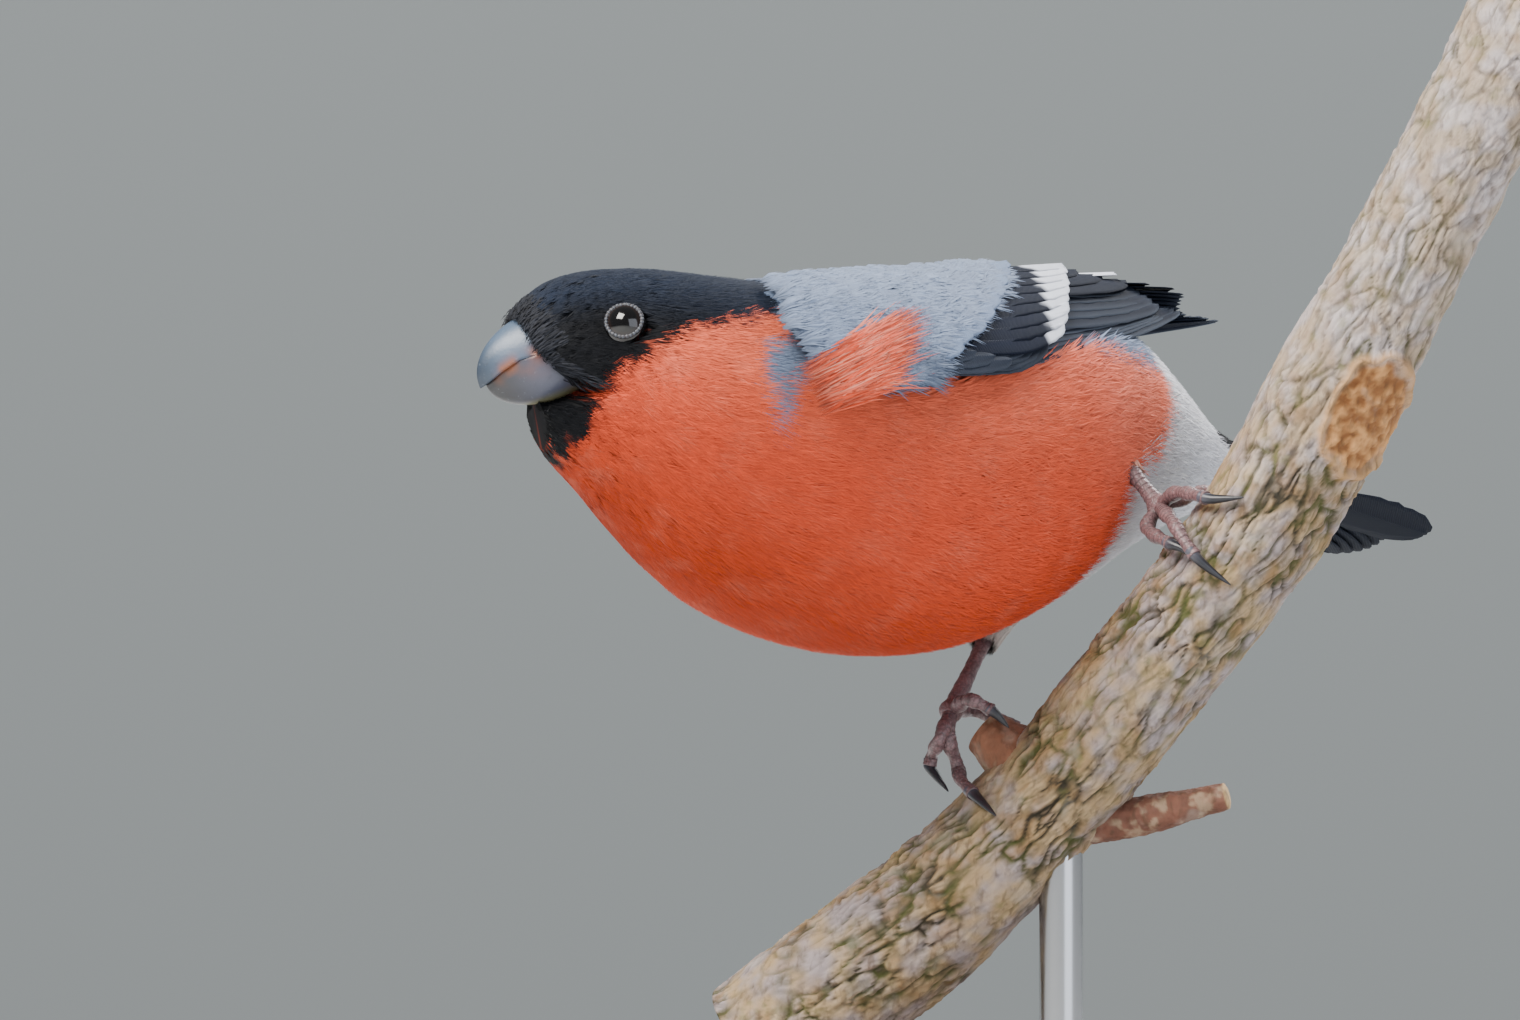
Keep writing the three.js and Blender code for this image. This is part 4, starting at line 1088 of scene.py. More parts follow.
@dataclass
class Eyes:
    """The eyeballs and the beaded ring of lid round each."""

    pose: Pose
    station: float = 100.5
    height: float = 112.7
    radius: float = 2.7
    sink: float = 1.75
    pupil: float = 0.62
    lid_radius: float = 2.12
    lid_width: float = 0.25

    def frame(self, side: int) -> tuple[Array, Array]:
        """Centre of an eye and the way it looks, in the bird's frame."""
        top, widest = (float(along(self.pose.sections, self.station, c)) for c in (1, 4))
        rise = ((self.height - widest) / (top - widest)) ** (self.pose.power / 2)
        angle = np.array(math.asin(rise) if side > 0 else math.pi - math.asin(rise))
        length = np.array(self.station)
        out = self.pose.normal(length, angle)
        out = out * np.sign(out[1] * side)
        return self.pose.surface(length, angle) - self.sink * out, out

    def basis(self, out: Array) -> tuple[Array, Array]:
        """Two ways across an eye's axis: one level, one upwards."""
        level = unit(np.cross(np.array([0.0, 0.0, 1.0]), out))
        return level, np.cross(out, level)

    def ball(self, side: int) -> Shell:
        """A sphere whose pupil, iris and rim are tinted by their angle from its axis."""
        centre, out = self.frame(side)
        level, upward = self.basis(out)
        polar, turn = grid(np.linspace(0.03, np.pi - 0.03, 40), circle(48))
        r = self.radius + 0.12 * np.exp(-((polar / 0.5) ** 2))
        around = np.cos(turn)[..., None] * level + np.sin(turn)[..., None] * upward
        rings = centre + r[..., None] * (np.cos(polar)[..., None] * out + np.sin(polar)[..., None] * around)
        iris = ease(polar, self.pupil - 0.05, self.pupil + 0.05) * (1 - ease(polar, 0.95, 1.05))
        return tube(rings, {"tint": paint(linear(0x050405), 0x140A07, iris)})

    def lid(self, side: int) -> Shell:
        """A torus round the eye with two rows of small beads on it."""
        centre, out = self.frame(side)
        level, upward = self.basis(out)
        turn, tube_turn = grid(circle(150), circle(16))
        bead = 0.1 * np.abs(np.sin(15 * turn)) ** 0.7 * np.sin(tube_turn).clip(0, 1)
        r = self.lid_width + bead
        around = np.cos(turn)[..., None] * level + 0.94 * np.sin(turn)[..., None] * upward
        middle = centre + self.lid_radius * around + math.sqrt(self.radius**2 - self.lid_radius**2) * out
        away = np.cos(tube_turn)[..., None] * around + np.sin(tube_turn)[..., None] * out
        points = middle + r[..., None] * away
        faces = grid_faces(151, 16, True) % (150 * 16)
        tint = paint(linear(0x0C0E12), 0x454A54, ease(bead, 0.02, 0.1))
        return Shell(points.reshape(-1, 3), faces, {"tint": tint.reshape(-1, 3)}).outward()

    def make(self, finish: Eyeball, lids: LegSkin) -> list[bpy.types.Object]:
        """The eyeballs, and a ring of lid for each."""
        made = []
        for side, name in ((1, "left"), (-1, "right")):
            made.append(show(f"eyeball_{name}", self.ball(side), finish.material(), Part.EYE, f"eye_{name}",
                             pose=self.pose))
            made.append(show(f"lid_{name}", self.lid(side), lids.material(), Part.LEG, pose=self.pose))
        return made


# Skin and coat


def thickness(length: Array, angle: Array) -> Array:
    """Depth of the feathers over the skin: full on the body, thin on the face."""
    return 2.3 - 1.3 * ease(length, 90, 101) - 0.4 * ease(length, 102, 108)


@dataclass
class Skin:
    """One seamless surface under the coat, pressed in where the wings lie."""

    pose: Pose
    markings: Markings
    wings: tuple[Wing, Wing]
    bill: Bill

    def make(self, finish: Plumage) -> bpy.types.Object:
        """The body's surface less the coat's depth, with the coat's colours in shade."""
        length, angle = grid(np.linspace(0.2, self.pose.end - 0.3, 230), circle(170))
        points = self.pose.surface(length, angle, -thickness(length, angle))
        flat = points.reshape(-1, 3)
        out = self.pose.normal(length, angle).reshape(-1, 3)
        flat = self.bill.press(flat + 0.6 * out) - 0.6 * out
        for wing in self.wings:
            covered, depth = wing.reach(flat)
            flat = flat - out * (np.where(covered, depth + 3.1, 0).clip(0))[:, None]
        tint = self.markings.colour(length.ravel(), angle.ravel(), flat) * 0.62
        shell = tube(flat.reshape(*length.shape, 3), {"tint": tint})
        place = tube(points, {"uv": np.stack([angle / (2 * np.pi), length / self.pose.end], -1)})
        thing = build("skin", self.pose.world(shell.points), shell.faces, tint=shell.marks["tint"],
                      uv=place.marks["uv"])
        return dress(thing, finish.material(), Part.BREAST, "head", "neck", "torso", "rump")


@dataclass
class Tufts:
    """Barbs gathered for one coat piece: each is a thin spindle from root to tip."""

    root: Array
    middle: Array
    tip: Array
    out: Array
    width: Array
    tint: Array
    uv: Array
    depth: float = 0.5

    def shell(self) -> tuple[Array, Array, Array, Array, Array]:
        """Corners, faces, tints, flat places and shading normals of every spindle.

        A spindle is two three-sided pyramids joined at their bases: its root, three corners
        round its middle and its tip.
        """
        way = unit(self.tip - self.root)
        side = unit(np.cross(way, self.out))
        w = self.width[:, None]
        corners = np.stack([self.root, self.middle - side * w / 2, self.middle + side * w / 2,
                            self.middle + self.out * w * self.depth, self.tip], 1)
        one = np.array([[0, 2, 1], [0, 1, 3], [0, 3, 2], [4, 1, 2], [4, 3, 1], [4, 2, 3]])
        faces = (np.arange(len(self.root))[:, None, None] * 5 + one).reshape(-1, 3)
        if signed_volume(corners[0] - corners[0].mean(0), one) < 0:
            faces = faces[:, ::-1]
        shade = np.array([0.5, 0.9, 0.9, 1.0, 1.12])
        tints = self.tint[:, None] * shade[:, None]
        small = np.array([[0, 0], [0, 1], [1, 0], [1, 1], [0.5, 1]]) * PATCH
        places = self.uv[:, None] + small
        lean = unit(self.out + 0.35 * side * np.random.default_rng(5).normal(size=w.shape))
        normals = np.broadcast_to(lean[:, None], corners.shape)
        return corners, faces, np.clip(tints, 0, 1), places, normals

    def make(self, name: str, pose: Pose, material: bpy.types.Material, part: Part,
             *nodes: str) -> bpy.types.Object:
        """The piece, its normals turned with the bird."""
        corners, faces, tints, places, normals = self.shell()
        origin = pose.world(np.zeros(3))
        thing = build(name, pose.world(corners), faces, tint=tints, uv=places,
                      normals=pose.world(normals) - origin)
        return dress(thing, material, part, *nodes)


@dataclass
class Coat:
    """The body's feathers, each a fan of barbs that follows the body backwards."""

    pose: Pose
    markings: Markings
    wings: tuple[Wing, Wing]
    bill: Bill
    barbs: int = 8
    seed: int = 11

    def scatter(self, count: int, low: float, high: float, rng: np.random.Generator) -> tuple[Array, Array]:
        """Places on the body with even density.

        Args:
            count: how many.
            low: spine length that they start from.
            high: spine length that they end at.
            rng: the seeded draw.

        Returns:
            Spine lengths and angles, drawn from grid cells by their area.
        """
        edges, turns = np.linspace(low, high, 90), np.linspace(0, 2 * np.pi, 121)
        points = self.pose.surface(*grid(edges, turns))
        corner = points[:-1, :-1]
        area = np.linalg.norm(np.cross(points[1:, :-1] - corner, points[:-1, 1:] - corner), axis=-1)
        cell = rng.choice(area.size, count, p=area.ravel() / area.sum())
        row, column = np.divmod(cell, area.shape[1])
        return (edges[row] + rng.random(count) * (edges[1] - edges[0]),
                turns[column] + rng.random(count) * (turns[1] - turns[0]))

    def feather_length(self, s: Array, e: Array) -> Array:
        """Length of a feather: small on the face, long on flanks and rump."""
        keys, lengths = (0, 20, 60, 80, 90, 97, 103, 109.6), (5.0, 6.5, 6.2, 5.4, 4.4, 3.0, 2.0, 1.3)
        return np.interp(s, keys, lengths) * (1 + 0.12 * ease(-e, 0, 60))

    def grow(self, count: int, low: float, high: float, width: float, loose: float) -> Tufts:
        """Feathers between two lengths of the spine.

        Args:
            count: number of feathers.
            low: spine length that their roots start from.
            high: spine length that they end at.
            width: width of a barb.
            loose: how far barbs stand off the surface.

        Returns:
            The barbs, less those under a wing or an eye.
        """
        rng = np.random.default_rng(self.seed + int(low * 10))
        s, a = self.scatter(count, low, high, rng)
        e = np.arcsin(np.sin(a)) / DEG
        length = self.feather_length(s, e) * rng.uniform(0.8, 1.15, count)
        local = self.pose.surface(s, a)
        keep = np.ones(count, bool)
        for wing in self.wings:
            covered, depth = wing.reach(local)
            keep &= ~(covered & (depth < 2.6))
        eyes = Eyes(self.pose)
        for side in (1, -1):
            centre, out = eyes.frame(side)
            keep &= np.linalg.norm(local - centre - eyes.sink * out, axis=1) > eyes.lid_radius + 0.25
        own = self.bill.own(local)
        keep &= ~((own[:, 0] > self.bill.border(own[:, 2])) & (own[:, 2] > -5.0) & (own[:, 2] < 6.0))
        s, a, length, local = s[keep], a[keep], length[keep], local[keep]
        e = np.arcsin(np.sin(a)) / DEG
        nape = ease(s, 82, 87) * ease(-s, -97, -93) * ease(-e, -34, -24)
        tone = self.markings.colour(s - 0.75 * nape * length, a, local)
        tone = tone * (1 + 0.07 * rng.normal(size=len(s)))[:, None]
        fan = rng.normal(0, 0.06, len(s))
        n, b = len(s), self.barbs
        spread = np.linspace(-0.5, 0.5, b)[None, :] * 0.62 + 0.08 * rng.normal(size=(n, b))
        reach = length[:, None] * (1 - 0.5 * spread**2) * rng.uniform(0.82, 1.06, (n, b))
        heading = fan[:, None] + spread
        back, across = reach * np.cos(heading), reach * np.sin(heading)
        girth = np.maximum(0.75 * (along(self.pose.sections, s, 3) + 2), 3)[:, None]
        depth = thickness(s, a)[:, None]
        start = s[:, None] + 0.05 * rng.normal(size=(n, b))
        lift = loose * rng.uniform(0.2, 1.0, (n, b))
        at = lambda part, sink: self.bill.press(self.pose.surface(
            np.clip(start - back * part, 0.1, self.pose.end), a[:, None] + across * part**1.2 / girth, sink))
        bend = -0.42 * depth
        root, middle, tip = at(0.0, -depth + 0.1), at(0.45, bend + 0.4 * lift), at(1.0, -0.12 + lift - 0.2)
        out = unit(middle - at(0.45, bend - 0.5))
        tint = tone[:, None] * (1 + 0.06 * rng.normal(size=(n, b)))[..., None]
        uv = np.stack([a / (2 * np.pi) % 1, s / self.pose.end], -1)[:, None] + np.zeros((n, b, 1))
        size = width * rng.uniform(0.7, 1.2, (n, b))
        flat = lambda x: x.reshape(-1, *x.shape[2:])
        return Tufts(flat(root), flat(middle), flat(tip), flat(out), flat(size), flat(tint), flat(uv))

    def make(self, finish: Plumage) -> list[bpy.types.Object]:
        """The coat in bands from the rump to the face."""
        material = finish.material()
        bands = (
            ("rump", 2600, 1.5, 28, 0.34, 0.5, Part.WHITE),
            ("belly_rear", 3500, 28, 46, 0.30, 0.45, Part.BREAST),
            ("belly", 3900, 46, 62, 0.29, 0.45, Part.BREAST),
            ("breast", 3900, 62, 77, 0.28, 0.45, Part.BREAST),
            ("neck", 4000, 77, 89, 0.25, 0.35, Part.MANTLE),
            ("cheek", 4000, 89, 98.5, 0.2, 0.25, Part.BREAST),
            ("face", 4000, 98.5, 109.5, 0.14, 0.16, Part.BLACK),
        )
        made = []
        for name, count, low, high, width, loose, part in bands:
            tufts = self.grow(count, low, high, width, loose)
            made.append(tufts.make(f"coat_{name}", self.pose, material, part))
        return made


@dataclass
class WingCoat:
    """Soft feathers over the front of a wing: grey lesser coverts, and long salmon breast barbs."""

    pose: Pose
    wing: Wing
    seed: int = 71

    def lay(self, p: Array, q: Array, turn: Array, reach: Array, low: Array, high: Array, width: Array,
            tint: Array) -> Tufts:
        """Barbs on the guide sheet.

        Args:
            p: roots, along the wing.
            q: roots, up the wing.
            turn: angle of each barb from the wing's length, upwards.
            reach: length of each.
            low: height of each root.
            high: height of each tip.
            width: width of each.
            tint: colour of each.

        Returns:
            The barbs, bending with the sheet.
        """
        way_p, way_q = reach * np.cos(turn), reach * np.sin(turn)
        at = lambda part, h: self.wing.sheet(p + way_p * part, q + way_q * part, h)
        bend = 0.45 * low + 0.55 * high
        root, middle, tip = at(0.0, low), at(0.45, bend + 0.25), at(1.0, high)
        out = unit(middle - at(0.45, bend - 0.5))
        offset = 0.0 if self.wing.side == "left" else 0.5
        uv = np.stack([0.1 + offset * 0.8 + p / 200, 0.3 + q / 100], -1)
        return Tufts(root, middle, tip, out, width, tint, uv)

    def coverts(self, rng: np.random.Generator) -> Tufts:
        """The grey lesser coverts, as fans of barbs."""
        count, fan = 1900, 9
        q = rng.uniform(0.6, 20.2, count)
        edge = np.interp(q, [0, 4.8, 12.5, 17, 20], [11, 15.5, 36, 42, 34])
        near = np.interp(q, [0, 5, 10, 14, 20], [2.0, -3.0, -4.5, -2.0, 0.5])
        p = near + (edge - near) * rng.random(count)
        turn = np.repeat(rng.normal(-0.06, 0.07, count), fan) + np.tile(np.linspace(-0.32, 0.32, fan), count)
        turn = turn + 0.06 * rng.normal(size=count * fan)
        reach = np.repeat(rng.uniform(4.2, 6.4, count), fan) * rng.uniform(0.8, 1.05, count * fan)
        low = np.repeat(0.25 + 0.25 * ease(p, 0, 20), fan)
        high = np.repeat(rng.uniform(0.7, 1.3, count) - 0.5 * ease(q, 14, 20), fan)
        tone = linear(0x74849F) * (1 + 0.06 * rng.normal(size=(count, 1)))
        # Painted shade: the coverts are darkened along the wing's lower edge near its bend.
        dark = ease(p, 2, 12) * (1 - ease(q, 1.5, 5.5))
        tone = tone * (1 - 0.45 * dark[:, None])
        tint = np.repeat(tone, fan, 0) * (1 + 0.05 * rng.normal(size=(count * fan, 1)))
        width = 0.28 * rng.uniform(0.7, 1.2, count * fan)
        return self.lay(np.repeat(p, fan), np.repeat(q, fan), turn, reach, low, high, width, tint)

    def shoulder(self, rng: np.random.Generator) -> Tufts:
        """The long salmon barbs that sweep up from the breast over the wing's bend."""
        count = 1500
        share = rng.random(count)
        p = rng.uniform(-4.0, 4.6, count) - 1.0 * share
        q = -1.2 + 6.0 * share + 0.3 * (p + 1) + rng.normal(0, 0.4, count)
        aim_p = 5.5 + 9.0 * share**0.6 + rng.normal(0, 1.8, count)
        aim_q = 0.2 + 9.0 * share + rng.normal(0, 0.9, count)
        turn = np.arctan2(aim_q - q, aim_p - p)
        reach = np.hypot(aim_q - q, aim_p - p) * rng.uniform(0.45, 1.12, count)
        mix = rng.random((count, 1)) ** 0.3
        tint = linear(0xD84A26) * mix + linear(0xE39A84) * (1 - mix)
        low, high = rng.uniform(0.0, 0.5, count), rng.uniform(1.2, 1.9, count)
        return self.lay(p, q, turn, reach, low, high, 0.24 * rng.uniform(0.6, 1.3, count), tint)

    def make(self, finish: Plumage) -> list[bpy.types.Object]:
        """The two coat pieces of this wing."""
        material = finish.material()
        side = self.wing.side
        rng = np.random.default_rng(self.seed + len(side))
        return [self.coverts(rng).make(f"coat_lesser_{side}", self.pose, material, Part.MANTLE),
                self.shoulder(rng).make(f"coat_shoulder_{side}", self.pose, material, Part.BREAST)]


# Perch


@dataclass
class Perch:
    """The branch: its axis leans up to the right and comes forward; bark, knot, twig and stub."""

    sway: float = 0.35
    back: float = 1.0
    rows: int = 400
    columns: int = 200
    axis: Array = field(default_factory=lambda: np.array([
        [-26.2, 26.2, 9.6], [-18.3, 32.8, 9.3], [-3.8, 44.5, 8.7], [7.4, 56, 7.9], [17, 67.9, 7.9],
        [26.2, 79.8, 8.0], [34.3, 91.7, 8.3], [40.6, 103.6, 8.3], [47, 115.5, 7.7], [53.2, 127.4, 7.4],
        [59.6, 139.3, 7.5], [64.9, 150, 7.6], [68.7, 157, 7.7]], float))
    knot: tuple[float, float] = (44.9, 101.8)
    stub_ends: Array = field(default_factory=lambda: np.array([[8, -1.8, 57.5], [-0.4, 0.5, 64.4]], float))

    def depth(self, x: Array) -> Array:
        """How far back the axis runs at x."""
        return self.back - self.sway * x

    def frame(self, share: Array) -> tuple[Array, Array, Array, Array]:
        """Centre, way over the upper left, way to the near side, and radius, at a share of the axis."""
        table = np.column_stack([np.arange(len(self.axis)), self.axis])
        at = lambda t: np.stack([along(table, t, 1), self.depth(along(table, t, 1)), along(table, t, 2)], -1)
        key = np.asarray(share, float) * (len(self.axis) - 1)
        way = unit(at(key + 0.02) - at(key - 0.02))
        over = np.array([-1.0, 0.0, 0.0]) + way * way[..., :1]
        over = unit(over - way * (over * way).sum(-1, keepdims=True))
        near = np.cross(way, over)
        near = near * -np.sign(near[..., 1:2])
        return at(key), over, near, np.interp(key, table[:, 0], table[:, 3])

    def bark_gap(self, points: Array) -> Array:
        """Distance of points from the bark of the branch and of its stub."""
        share = np.linspace(0, 1, 240)
        centre, _, _, radius = self.frame(share)
        t = np.linspace(0, 1, 12)[:, None]
        stub = self.stub_ends[0] + (self.stub_ends[1] - self.stub_ends[0]) * t
        centre = np.concatenate([centre, stub])
        radius = np.concatenate([radius, 5.6 - 3.0 * t[:, 0]])
        return (np.linalg.norm(points[:, None] - centre, axis=2) - radius).min(1)

    def on_bark(self, x: float, z: float, gap: float, far: float = 0) -> Array:
        """The point at x and z whose distance from the bark is the gap, on the near or the far side."""
        y = self.depth(np.array(x)) + np.linspace(-30, 30, 1201) * (-1 if far else 1)
        line = np.column_stack([np.full_like(y, x), y, np.full_like(y, z)])
        gaps = self.bark_gap(line)
        hit = np.flatnonzero(gaps <= gap)
        return line[hit[0] if len(hit) else gaps.argmin()]

    def cells(self, points: Array, seed: int) -> Array:
        """Distance to the border between the two nearest of scattered seeds, in cells of size one."""
        base = np.floor(points).astype(np.int64)
        best = np.full(points.shape[:-1], 9.0)
        second = best.copy()
        for k in range(27):
            cell = base + np.array([k % 3 - 1, k // 3 % 3 - 1, k // 9 - 1])
            jitter = np.stack([noise(cell + 0.0, seed + i) * 0.5 + 0.5 for i in range(3)], -1)
            away = np.linalg.norm(cell + jitter - points, axis=-1)
            second = np.minimum(second, np.maximum(best, away))
            best = np.minimum(best, away)
        return second - best

    def bark(self, points: Array, way: Array) -> tuple[Array, Array]:
        """Height and colour of the bark.

        Args:
            points: places on the branch.
            way: flat coordinates that run along and round it, in millimetres.

        Returns:
            Height over the smooth branch, and linear colour: cream and silvery ridges in
            plates, split along the branch by cracks with olive-green and dark floors. The dark in
            cracks, splits and low spots is painted shade, and raised spots are painted lighter.
        """
        warp = np.stack([layered(points * 0.22, 31 + k, 2) for k in range(3)], -1)
        flat = np.concatenate([way * np.array([0.12, 0.44]), points[..., :1] * 0.0], -1)
        plates = flat + 0.7 * warp
        splits = self.cells(plates, 41)
        small = self.cells(plates * np.array([2.3, 2.6, 1.0]) + 5, 47)
        smooth = ease(points[..., 2], 84, 118)
        deep = ease(layered(points * 0.14, 43, 2), -0.45, 0.25) * (1 - 0.62 * smooth)
        crack = (1 - ease(splits, 0.0, 0.16)) * (0.25 + 0.75 * deep)
        hair = (1 - ease(small, 0.0, 0.24)) * (0.12 + 0.5 * deep)
        rough = layered(points * np.array([1.5, 1.5, 0.9]), 51, 4)
        lumps = layered(points * 0.2, 57, 3)
        height = 0.5 * lumps - 0.5 * crack - 0.25 * hair + 0.34 * rough * (0.4 + 0.6 * deep) - 0.2
        soft = ease(layered(points * 0.35, 61, 3), -0.35, 0.45)
        tan = ease(layered(points * 0.5, 67, 3), -0.15, 0.5) * (0.3 + 0.7 * deep)
        green = ease(layered(points * 0.3, 71, 3), -0.3, 0.3) * np.clip(crack + 0.6 * hair, 0, 1)
        # Painted shade: the cracks, the fine splits and the low spots of the rough height are darkened.
        dark = np.clip(crack * 0.9 + hair * 0.7 + 0.35 * ease(-rough, 0.25, 0.7), 0, 1)
        moss = ease(layered(points * 0.55, 77, 3), 0.3, 0.6) * 0.45
        colour = linear(0x9F8866)
        for code, share in ((0x938889, soft), (0xB3A9A8, smooth * (0.4 + 0.6 * soft)), (0x80613A, 0.8 * tan),
                            (0x2A2415, dark), (0x454A14, 0.7 * green), (0x5C5E2A, moss)):
            colour = paint(colour, code, share)
        # Painted light and shade: lighter where the rough height stands up, darker where it sinks.
        return height, colour * (1 + 0.12 * rough[..., None])

    def scar(self, points: Array, over: Array) -> tuple[Array, Array]:
        """The pruned knot: how strongly points belong to its rim and to its rough inside.

        Args:
            points: places on the branch.
            over: whether each is on the near side.

        Returns:
            Rim and inside, each from 0 to 1, from the distance to an ellipse along the branch.
        """
        x, z = points[..., 0] - self.knot[0], points[..., 2] - self.knot[1]
        tilt = math.radians(64)
        c, s = math.cos(tilt), math.sin(tilt)
        wobble = 0.12 * noise(points * 0.5, 83)
        reach = np.hypot((c * x + s * z) / 7.2, (-s * x + c * z) / 4.2) + wobble
        reach = np.where(over, reach, 3)
        return np.exp(-(((reach - 1.04) / 0.1) ** 2)), 1 - ease(reach, 0.86, 1.0)

    def cut_tint(self, ring: Array, share: float) -> Array:
        """Colour of a cut end at a share of its radius: pale wood that darkens towards the bark."""
        grain = 1 - 0.2 * share + 0.1 * noise(ring * 1.5, 5)
        return linear(0xC7A67A) * grain[:, None]

    def limb(self) -> Shell:
        """The main branch with its cut ends, bark and knot."""
        share, turn = grid(np.linspace(0, 1, self.rows), circle(self.columns))
        centre, over, near, radius = self.frame(share)
        out = np.cos(turn)[..., None] * over + np.sin(turn)[..., None] * near
        uneven = 0.22 * np.sin(3 * turn + 9 * share) - 0.22
        plain = centre + out * (radius + uneven)[..., None]
        total = float(np.linalg.norm(np.diff(self.axis[:, :2], axis=0), axis=1).sum())
        wrap = np.stack([share * total, 8 * np.abs((turn - np.pi / 2 + np.pi) % (2 * np.pi) - np.pi)], -1)
        height, tint = self.bark(plain, wrap)
        rim, inside = self.scar(plain, plain[..., 1] < centre[..., 1])
        fibre = layered(plain * 0.9, 91, 4)
        height = height * (1 - np.clip(rim + inside, 0, 1)) + 0.75 * rim + inside * (0.1 + 0.75 * fibre)
        wood = paint(linear(0x7A4C24), 0xC48F58, ease(fibre, -0.4, 0.5))
        tint = paint(tint + (wood - tint) * inside[..., None], 0xB58A5C, 0.8 * rim)
        ends = np.minimum(share, 1 - share) * total
        height = height * ease(ends, 0, 1.2)
        rings = plain + out * height[..., None]
        inner = (0.2, 0.4, 0.6, 0.8, 0.985)
        low = [centre[0] + (rings[0] - centre[0]) * r for r in inner]
        high = [centre[-1] + (rings[-1] - centre[-1]) * r for r in inner[::-1]]
        low_tint = [self.cut_tint(ring, r) for ring, r in zip(low, inner)]
        high_tint = [self.cut_tint(ring, r) for ring, r in zip(high, inner[::-1])]
        rings = np.concatenate([np.stack(low), rings, np.stack(high)])
        tint = np.concatenate([np.stack(low_tint), tint, np.stack(high_tint)])
        return tube(rings, {"tint": np.clip(tint, 0, 1)})

    def side_shoot(self, points: Array, radius: Callable[[Array, Array], Array], bark: int, cut: int,
                   seed: int) -> Shell:
        """A twig or stub: a swept tube with bark, bumps and a pale cut end."""
        shell = sweep(points, radius, 90, 60)
        share = shell.marks.pop("share")[:, 0]
        shell.marks.pop("turn")
        rough = layered(shell.points * 1.1, seed, 3)
        centre = curve(points, np.clip(share, 0, 1))
        out = unit(shell.points - centre)
        on_bark = 1 - ease(share, 0.94, 0.99)
        shell.points = shell.points + out * (0.22 * rough * on_bark)[:, None]
        # Painted light and shade: the bark is lighter where the bumps stand out and darker where they sink.
        base = linear(bark) * (1 + 0.4 * rough[:, None])
        base = paint(base, 0xA8957A, 0.5 * ease(layered(shell.points * 0.9, seed + 9, 3), 0.1, 0.5))
        shell.marks["tint"] = np.clip(paint(base, cut, ease(share, 0.975, 0.995)), 0, 1)
        return shell

    def make(self, finish: Bark) -> bpy.types.Object:
        """The whole perch as one piece."""
        at, over, near, radius = self.frame(np.array(0.252))
        angle = 165 * DEG
        root = at + (radius - 3) * (math.cos(angle) * over + math.sin(angle) * near)
        path = root + np.array([[0, 0, 0], [6, -1.2, 0.9], [12, -2.6, 2.2], [17.6, -3.6, 3.6]])
        swollen = lambda t: 2.5 - 0.9 * t + 0.5 * np.sin(np.pi * np.minimum(1.3 * t, 1)) * t
        twig = self.side_shoot(path, lambda t, _: swollen(t) * np.sqrt(1 - ease(t, 0.985, 1.01) * 0.9),
                               0x6B4536, 0xC4A374, 101)
        line = self.stub_ends[0] + (self.stub_ends[1] - self.stub_ends[0]) * np.linspace(0, 1, 5)[:, None]
        stub = self.side_shoot(line, lambda t, _: (5.6 - 3.0 * t) * np.sqrt(1 - ease(t, 0.98, 1.01) * 0.9),
                               0x7C523C, 0xC89A6A, 107)
        return show("branch", joined([self.limb(), twig, stub]), finish.material(), Part.BARK, "perch")


# Legs


